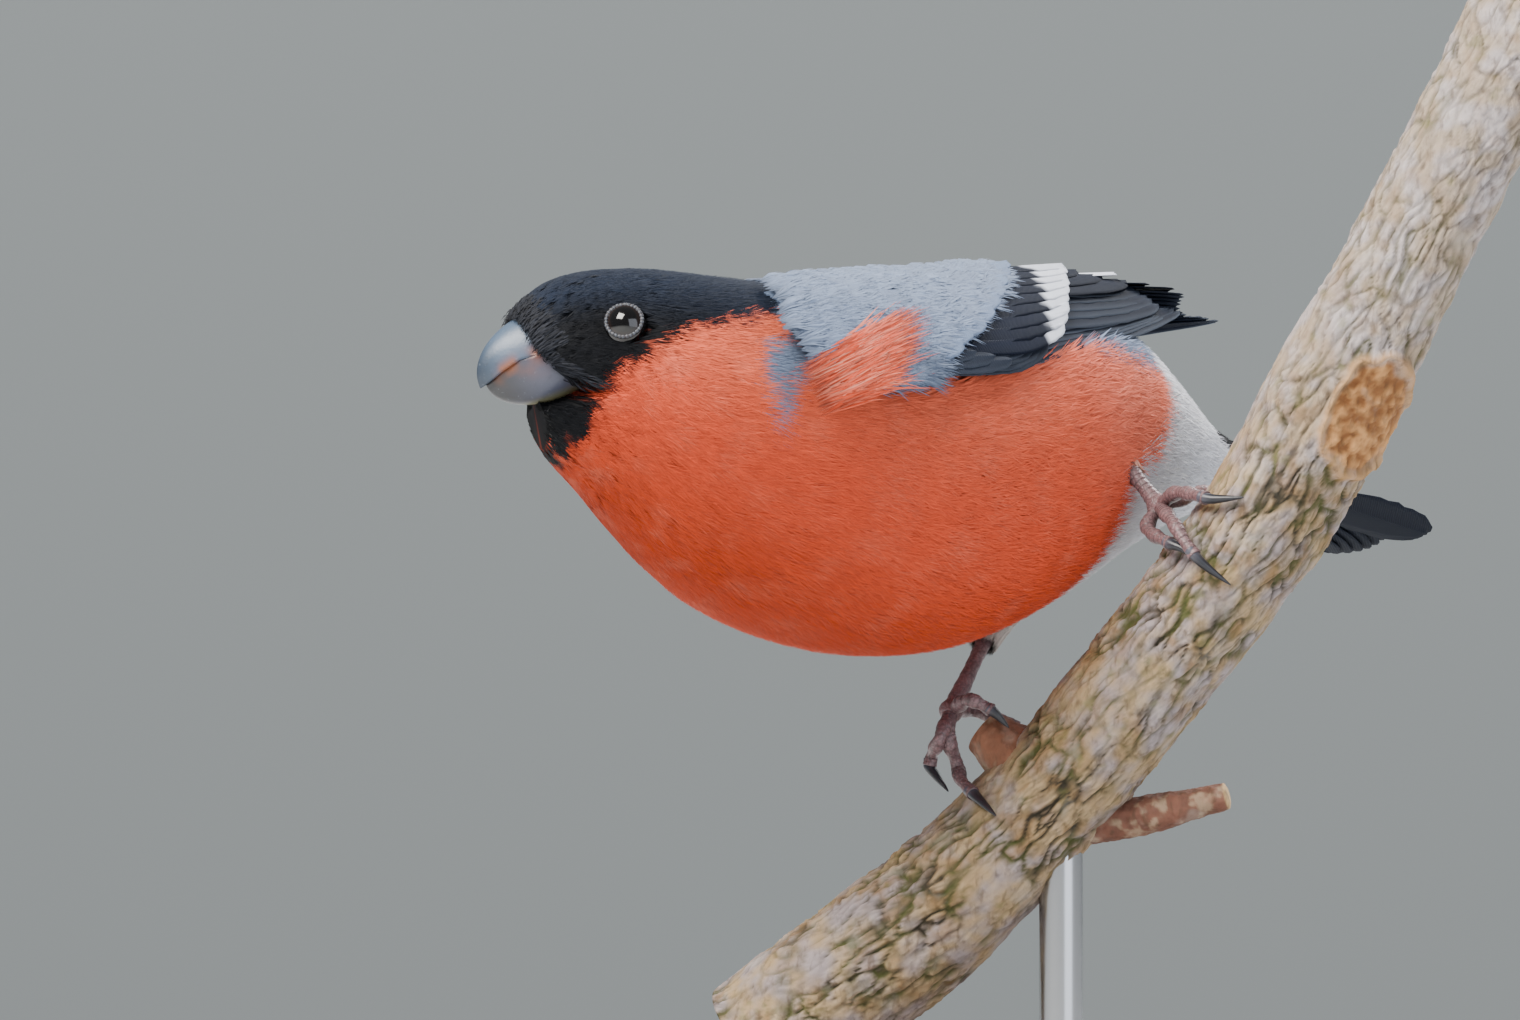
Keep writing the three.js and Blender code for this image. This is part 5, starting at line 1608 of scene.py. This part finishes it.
@dataclass
class Legs:
    """Bare shanks, toes with scutes, and claws that hold the branch."""

    perch: Perch
    ankles: dict[str, Array] = field(default_factory=lambda: {
        "left": np.array([16.7, -3.2, 95.9]), "right": np.array([1.6, 12, 78.2])})
    feet: dict[str, Array] = field(default_factory=lambda: {
        "left": np.array([20.6, -6, 91]), "right": np.array([-4, 0.6, 66.6])})
    toes: dict[str, dict[str, tuple]] = field(default_factory=lambda: {
        "left": {
            "inner": ((19.2, 88.4, 2.2), (21.6, 86.6, 1.4), (23.4, 85.8, 1.0), (24.8, 84.4, 0.5)),
            "middle": ((22.4, 88.6, 1.7), (23.7, 86.4, 1.5), (25.3, 84.4, 1.2), (28.9, 81.6, 0.5)),
            "outer": ((22.6, 92.5, 1.9), (25.4, 92.1, 1.5), (26.6, 91.8, 1.2), (30.4, 92, 0.5)),
            "hind": ((22.6, 91.6, 2, 1), (25.8, 92.6, 1.4, 1), (28.6, 92.4, 1.2, 1), (31.6, 90.8, 0.5, 1))},
        "right": {
            "inner": ((-1.9, 67.9, 2.6), (0.2, 67, 1.9), (1.3, 66.2, 1.6), (2.8, 64.6, 0.6)),
            "middle": ((-4.4, 63.3, 2.2), (-3.3, 60.2, 1.5), (-2.9, 58.4, 1.2), (1.2, 54.2, 0.5)),
            "outer": ((-5.4, 63.4, 4), (-6.4, 61, 3.8), (-6.6, 60, 3.6), (-4.4, 57, 1.4)),
            "hind": ((-1.6, 66.6, 2.4, 1), (1.8, 65.6, 1.4, 1), (4, 64.4, 1.2, 1), (6.6, 61.6, 0.5, 1))}})
    claw_share: float = 0.7
    skin: int = 0x74595C

    def toe_way(self, side: str, name: str) -> Array:
        """Points of a toe's path from the foot to the claw's tip."""
        return np.stack([self.feet[side]] + [self.perch.on_bark(*p) for p in self.toes[side][name]])

    def skin_tint(self, shell: Shell, seed: int) -> None:
        """Colours a leg shell: pinkish brown, darker on its scutes' seams."""
        tone = layered(shell.points * 0.9, seed, 2)[:, None]
        ring = shell.marks.pop("ring")
        base = linear(self.skin) * (1 + 0.25 * tone)
        shell.marks = {"tint": np.clip(base * (1 - 0.45 * ring), 0, 1)}

    def toe(self, side: str, name: str, seed: int) -> Shell:
        """A toe with three joints, stepped scutes above and swollen pads below."""
        path = self.toe_way(side, name)
        part = curve(path, np.linspace(0, self.claw_share + 0.02, 9))
        length = float(np.linalg.norm(np.diff(part, axis=0), axis=1).sum())
        scutes = max(int(length / 0.85), 6)

        def radius(t: Array, turn: Array) -> Array:
            """Joint swellings plus one step for each scute over the upper half."""
            saw = (t * scutes) % 1
            upper = np.clip(np.cos(turn - np.pi / 2) * 0.5 + 0.6, 0, 1)
            return 0.94 - 0.2 * t + 0.1 * np.cos(6 * np.pi * t) + 0.09 * upper * (saw - 0.5)

        shell = sweep(part, radius, scutes * 9, 20)
        saw = (shell.marks["share"][:, :1] * scutes) % 1
        shell.marks["ring"] = np.exp(-((np.minimum(saw, 1 - saw) / 0.12) ** 2))
        self.skin_tint(shell, seed)
        return shell

    def shank(self, side: str) -> Shell:
        """The shank from under the cuff to the foot, with its big front scutes."""
        shares = np.array([[0.0], [0.35], [0.7], [1.0]])
        path = self.ankles[side] + (self.feet[side] - self.ankles[side]) * shares
        scutes = 9

        def radius(t: Array, turn: Array) -> Array:
            """A waisted shank, stepped at each scute."""
            saw = (t * scutes) % 1
            return 1.02 + 0.14 * np.cos(2 * np.pi * t) + 0.08 * (saw - 0.5)

        shell = sweep(path, radius, scutes * 10, 26)
        saw = (shell.marks["share"][:, :1] * scutes) % 1
        shell.marks["ring"] = np.exp(-((np.minimum(saw, 1 - saw) / 0.08) ** 2)) * 0.8
        self.skin_tint(shell, 5)
        return shell

    def pad(self, side: str) -> Shell:
        """The ball of the foot."""
        polar, turn = grid(np.linspace(0.05, np.pi - 0.05, 18), circle(28))
        way = np.stack([np.sin(polar) * np.cos(turn), np.sin(polar) * np.sin(turn), np.cos(polar)], -1)
        r = 1.5 + 0.07 * noise(way * 4, 3)
        shell = tube(self.feet[side] + r[..., None] * way, {"ring": 0 * polar})
        self.skin_tint(shell, 9)
        return shell

    def claw(self, side: str, name: str) -> Shell:
        """A claw: a tapering curved spike, paler at its root."""
        part = curve(self.toe_way(side, name), np.linspace(self.claw_share - 0.03, 1, 7))
        shape = lambda t, turn: (0.76 * (1 - t) ** 0.72 + 0.05) * (1 + 0.08 * np.cos(2 * turn))
        shell = sweep(part, shape, 40, 20)
        share = shell.marks["share"][:, 0]
        shell.marks = {"tint": paint(linear(0x4A4A55), 0x191B22, ease(share, 0, 0.35))}
        return shell

    def make(self, finish: LegSkin, horn: Horn) -> list[bpy.types.Object]:
        """A shank piece, a foot piece and four claws for each side."""
        made = []
        for side in ("left", "right"):
            made.append(show(f"shank_{side}", self.shank(side), finish.material(), Part.LEG, f"leg_{side}"))
            toes = [self.toe(side, name, 20 + k) for k, name in enumerate(self.toes[side])]
            foot = joined([self.pad(side), *toes])
            made.append(show(f"toes_{side}", foot, finish.material(), Part.LEG, f"foot_{side}"))
            for name in self.toes[side]:
                made.append(show(f"talon_{side}_{name}", self.claw(side, name), horn.material(), Part.CLAW,
                                 f"claw_{side}_{name}"))
        return made


@dataclass
class Trim:
    """Loose feathers that don't lie in the body's fans: leg cuffs and bristles round the bill."""

    pose: Pose
    bill: Bill
    legs: Legs
    hidden: dict[str, Array] = field(default_factory=lambda: {
        "left": np.array([12, 6, 98.0]), "right": np.array([4, 20, 88.0])})
    cuff_end: dict[str, float] = field(default_factory=lambda: {"left": 0.3, "right": 0.34})

    def cuff(self, side: str, rng: np.random.Generator) -> Tufts:
        """Barbs down a thigh, from under the belly to the bare shank."""
        ankle, foot, top = self.legs.ankles[side], self.legs.feet[side], self.hidden[side]
        end = ankle + (foot - ankle) * self.cuff_end[side]
        path = np.stack([top, ankle * 0.65 + top * 0.35, ankle, end])
        count = 4600
        t = rng.random(count) ** 0.8 * 0.8
        turn = rng.uniform(0, 2 * np.pi, count)
        reach = rng.uniform(0.16, 0.3, count)
        wide = (3.2 if side == "left" else 4.4) * (1 - 0.6 * ease(np.linspace(0, 1, 50), 0.3, 1))
        at_radius = lambda s: np.interp(s, np.linspace(0, 1, 50), wide)
        way = unit(curve(path, np.clip(t + 0.05, 0, 1)) - curve(path, np.clip(t - 0.02, 0, 1)))
        side_way = unit(np.cross(way, np.array([0.0, 1.0, 0.2])))
        over = np.cross(side_way, way)
        ring = np.cos(turn)[:, None] * side_way + np.sin(turn)[:, None] * over
        tip_share = np.minimum(t + reach, 1.03)
        twist = rng.normal(0, 0.12, count)
        leaned = np.cos(turn + twist)[:, None] * side_way + np.sin(turn + twist)[:, None] * over
        root = curve(path, t) + ring * (0.55 * at_radius(t))[:, None]
        middle = curve(path, (t + tip_share) / 2) + ring * (0.92 * at_radius((t + tip_share) / 2))[:, None]
        tip_radius = at_radius(tip_share) * rng.uniform(0.7, 1.05, count)
        tip = curve(path, np.clip(tip_share, 0, 1)) + leaned * tip_radius[:, None]
        mix = rng.random((count, 1))
        pale = linear(0xC98A74) if side == "left" else linear(0xDDD3CC)
        tint = pale * (0.6 + 0.4 * mix) + linear(0xC77A58) * (0.25 * (1 - mix)) * (t[:, None] < 0.4)
        uv = np.stack([0.25 + 0.5 * (side == "right") + turn / 60, 0.5 + t / 20], -1)
        return Tufts(root, middle, tip, ring, 0.3 * rng.uniform(0.6, 1.2, count), np.clip(tint, 0, 1), uv)

    def bristles(self, rng: np.random.Generator) -> Tufts:
        """Short stiff barbs that lean forward over the bill's base from the forehead, lores and chin."""
        count = 9000
        turn = rng.uniform(0, 2 * np.pi, count)
        up = np.sin(turn)
        s = rng.uniform(self.pose.end - 8, self.pose.end - 0.1, count)
        root = self.bill.press(self.pose.surface(s, turn, -0.6))
        own = self.bill.own(root)
        back = self.bill.border(own[:, 2]) - own[:, 0]
        keep = (back > 0.1) & (back < np.where(up > 0.2, 4.5, 2.2)) & (own[:, 2] > -5.4)
        turn, up, s, root = turn[keep], up[keep], s[keep], root[keep]
        count = len(s)
        out = self.pose.normal(s, turn)
        z = up * np.where(up > 0, self.bill.culmen, self.bill.gonys) * 1.03
        ahead = self.bill.border(z) + rng.uniform(-1.2, 0.5, count) * np.where(up > 0, 1, 0.5)
        tip_own = np.stack([ahead, self.bill.half_width * np.cos(turn) * 1.03, z], -1)
        tip = self.bill.place(tip_own) + out * rng.uniform(0.0, 0.3, (count, 1))
        aim = tip - root
        length = np.linalg.norm(aim, axis=1)[:, None]
        tip = root + aim / length * np.minimum(length, rng.uniform(2.4, 3.6, (count, 1)))
        tip = tip + rng.normal(0, 0.18, (count, 3))
        middle = (root + tip) / 2 + out * 0.45
        shade = linear(0x1B1E26) * rng.uniform(0.6, 1.6, (count, 1))
        uv = np.stack([turn / (2 * np.pi), s / self.pose.end], -1)
        return Tufts(root, middle, tip, out, 0.15 * rng.uniform(0.7, 1.3, count), shade, uv)

    def chin(self, rng: np.random.Generator) -> Tufts:
        """Barbs that hang over the face's blunt front under the bill: the black bib, then salmon."""
        count = 1800
        z = rng.uniform(99.2, 102.8, count)
        u, v, turn = (float(x) for x in self.pose.spine(self.pose.end - 0.2))
        lean = float(along(self.pose.sections, self.pose.end, 5)) * (z - 107.6)
        side = rng.uniform(-3.4, 3.4, count) * np.sqrt(1 - ((z - 105) / 7.6) ** 2)
        ahead = np.array([math.cos(turn), -math.sin(turn), 0.0])
        left = np.array([math.sin(turn), math.cos(turn), 0.0])
        root = np.stack([u + 0 * z, v + 0 * z, z], -1) + ahead * (lean - 1.2)[:, None] + left * side[:, None]
        drop = rng.uniform(1.1, 2.2, count)[:, None]
        spread = (0.15 * side + rng.normal(0, 0.2, count))[:, None]
        middle = root + ahead * 0.55 + left * spread / 2 - np.array([0, 0, 0.45]) * drop
        forward = rng.uniform(0.2, 0.6, (count, 1)) - 0.3 * drop
        tip = root + ahead * forward + left * spread - np.array([0, 0, 1.0]) * drop
        bib = (z + 0.4 * rng.normal(size=count) > 99.8)[:, None]
        tint = np.where(bib, linear(0x07090F), linear(0xE25432)) * rng.uniform(0.8, 1.15, (count, 1))
        uv = np.stack([0.75 + side / 60, 0.99 + 0 * z], -1)
        out = np.broadcast_to(ahead, root.shape)
        return Tufts(root, middle, tip, out, 0.22 * rng.uniform(0.7, 1.3, count), tint, uv)

    def make(self, finish: Plumage) -> list[bpy.types.Object]:
        """The cuffs' pieces, the bristles' piece and the chin's piece."""
        rng = np.random.default_rng(131)
        material = finish.material()
        made = []
        for side in ("left", "right"):
            cuff = self.cuff(side, rng)
            cuff.root, cuff.middle, cuff.tip, cuff.out = (self.pose.local(x) for x in (
                cuff.root, cuff.middle, cuff.tip, cuff.out + self.pose.world(np.zeros(3))))
            made.append(cuff.make(f"coat_cuff_{side}", self.pose, material, Part.WHITE, f"thigh_{side}"))
        made.append(self.bristles(rng).make("coat_bristles", self.pose, material, Part.BLACK))
        made.append(self.chin(rng).make("coat_chin", self.pose, material, Part.BLACK))
        return made


# Stand and studio


@dataclass
class Stand:
    """The display stand: a rounded wooden base, a steel rod and its collar."""

    size: tuple[float, float, float] = (104.0, 84.0, 7.0)
    corner: float = 26.0
    bevel: float = 1.2
    rod_x: float = 9.0
    rod_radius: float = 2.6
    rod_top: float = 50.5
    collar_radius: float = 6.0
    collar_height: float = 4.0
    gap: float = 0.3
    sides: int = 64

    def ring(self, length: float, depth: float, corner: float, height: float) -> Array:
        """Points round a rounded rectangle at a height."""
        points = []
        for k, (sx, sy) in enumerate(((1, 1), (-1, 1), (-1, -1), (1, -1))):
            turn = np.linspace(k * 90, k * 90 + 90, 25) * DEG
            x = sx * (length / 2 - corner) + corner * np.cos(turn)
            y = sy * (depth / 2 - corner) + corner * np.sin(turn)
            points.append(np.column_stack([x, y, np.full_like(x, height)]))
        return np.concatenate(points)

    def base(self) -> Shell:
        """The base, rounded over its top edge."""
        length, depth, height = self.size
        rows = [self.ring(length - 1, depth - 1, self.corner - 0.5, 0.0),
                self.ring(length, depth, self.corner, 0.5)]
        for turn in np.linspace(0, 90, 8) * DEG:
            inset = self.bevel * (1 - math.cos(turn))
            rows.append(self.ring(length - 2 * inset, depth - 2 * inset, self.corner - inset,
                                  height - self.bevel + self.bevel * math.sin(turn)))
        for inset in (2.0, 2.4, 12.0, 24.0):
            corner = max(self.corner - inset, 0.5)
            rows.append(self.ring(length - 2 * inset, depth - 2 * inset, corner, height))
        return tube(np.stack(rows))

    def turned(self, profile: Sequence[tuple[float, float]], centre: Array) -> Array:
        """Rings of a profile of radius and height turned round an upright axis."""
        turn = circle(self.sides)
        return np.stack([np.column_stack([centre[0] + r * np.cos(turn), centre[1] + r * np.sin(turn),
                                          np.full(self.sides, z)]) for r, z in profile])

    def make(self, perch: Perch) -> list[bpy.types.Object]:
        """The stand's three pieces."""
        y = float(perch.depth(np.array(self.rod_x)))
        centre = np.array([self.rod_x, y])
        floor = self.size[2] + self.gap
        r, e = self.rod_radius, 0.15
        rod = tube(self.turned([(r - e, floor), (r, floor + e), (r, self.rod_top)], centre))
        outer, top, inner = self.collar_radius, floor + self.collar_height, r + self.gap
        profile = [(inner, floor), (outer - 0.3, floor), (outer, floor + 0.3), (outer, top - 0.8),
                   (outer - 0.25, top - 0.25), (outer - 0.8, top), (inner + 0.2, top), (inner, top - 0.2)]
        rings = self.turned(profile, centre).transpose(1, 0, 2)
        quads = grid_faces(self.sides + 1, len(profile), True) % (self.sides * len(profile))
        collar = Shell(rings.reshape(-1, 3), quads).outward()
        wood = Polished("base_wood", 0x3E2617, 0.38)
        steel = Polished("steel", 0xB8BABD, 0.26, 1.0)
        made = []
        for name, shell, finish, part, node in (
            ("plinth", self.base(), wood, Part.BASE, "stand_base"),
            ("rod", rod, steel, Part.STEEL, "stand_rod"),
            ("collar", collar, steel, Part.STEEL, "stand_collar"),
        ):
            made.append(show(name, shell, finish.material(), part, node))
            made[-1].data.set_sharp_from_angle(angle=35 * DEG)
        return made


@dataclass
class Studio:
    """Floor, backdrop, lights and camera."""

    width: int = 1520
    scale: float = 8.4
    distance: float = 2800.0
    centre: tuple[float, float] = (-26.8, 90.5)
    sensor: float = 36.0

    def sheet(self, name: str, corners: Sequence[tuple[float, float, float]], colour: int) -> None:
        """A flat stage sheet."""
        thing = build(name, np.array(corners, float), np.array([[0, 1, 2, 3]]))
        g = Graph(name, roughness=0.95)
        g.set("Base Color", linear(colour))
        thing.data.materials.append(g.material)

    def light(self, name: str, where: tuple[float, float, float], size: float, watts: float, colour: int,
              aim: tuple[float, float, float] = (-5, 0, 95)) -> None:
        """A soft square light that faces its aim, which is the bird unless another is given."""
        data = bpy.data.lights.new(name, "AREA")
        data.shape, data.size, data.energy = "SQUARE", size * MM, watts
        data.color = tuple(linear(colour))
        lamp = bpy.data.objects.new(name, data)
        lamp.location = Vector(where) * MM
        lamp.rotation_euler = (Vector(aim) - Vector(where)).to_track_quat("-Z", "Y").to_euler()
        bpy.context.scene.collection.objects.link(lamp)

    def camera(self) -> None:
        """A level view along +Y whose frame matches the size of one millimetre in the picture."""
        data = bpy.data.cameras.new("camera")
        across = self.width / self.scale
        data.sensor_width = self.sensor
        data.lens = self.sensor * self.distance / across
        data.clip_end = 100
        camera = bpy.data.objects.new("camera", data)
        camera.location = Vector((self.centre[0], -self.distance, self.centre[1])) * MM
        camera.rotation_euler = (math.pi / 2, 0, 0)
        bpy.context.scene.collection.objects.link(camera)
        bpy.context.scene.camera = camera

    def make(self) -> None:
        """Sets the stage, the lights, the surrounding light and the camera."""
        self.sheet("floor", [(-1500, -1500, 0), (1500, -1500, 0), (1500, 700, 0), (-1500, 700, 0)], 0xD5D8DA)
        across, back, low, high = 2600, 3600, -900, 2400
        self.sheet("backdrop", [(-across, back, low), (across, back, low), (across, back, high),
                                (-across, back, high)], 0xC9CFCF)
        self.light("key", (-380, -420, 700), 480, 20, 0xFFFAF2)
        self.light("fill", (520, -620, 260), 620, 3.5, 0xEEF3FF)
        self.light("back", (300, 420, 520), 300, 6, 0xFFFFFF)
        self.light("wash", (0, 2700, 1500), 1200, 14, 0xFFFFFF, aim=(0, back, 200))
        world = bpy.data.worlds.new("studio")
        world.use_nodes = True
        shade = world.node_tree.nodes["Background"]
        shade.inputs[0].default_value = (*linear(0xE6EAEE), 1)
        shade.inputs[1].default_value = 0.3
        bpy.context.scene.world = world
        self.camera()


def main() -> None:
    """Builds the bird from the skin outwards, then its perch, its stand and the studio."""
    pose, markings, perch = Pose(), Markings(), Perch()
    near, far = Wing(pose, "left"), Wing(pose, "right")
    plumage = Plumage("plumage")
    vanes = VaneFinish("vanes")
    bill = Bill(pose)
    legs = Legs(perch)
    LOG.info("skin")
    Skin(pose, markings, (near, far), bill).make(Plumage("skin", 0.85, 0.0))
    LOG.info("coat")
    Coat(pose, markings, (near, far), bill).make(plumage)
    for wing in (near, far):
        wing.make(vanes)
        WingCoat(pose, wing).make(plumage)
    Tail(pose).make(vanes)
    LOG.info("head and legs")
    bill.make(Horn("bill", 0.42, 0.12, 0.22))
    skin = LegSkin("leg_skin")
    Eyes(pose).make(Eyeball("eye"), skin)
    legs.make(skin, Horn("claw", 0.42, 0.15, 0.0))
    Trim(pose, bill, legs).make(plumage)
    LOG.info("perch and stand")
    perch.make(Bark("bark"))
    Stand().make(perch)
    Studio().make()


if __name__ == "__main__":
    main()
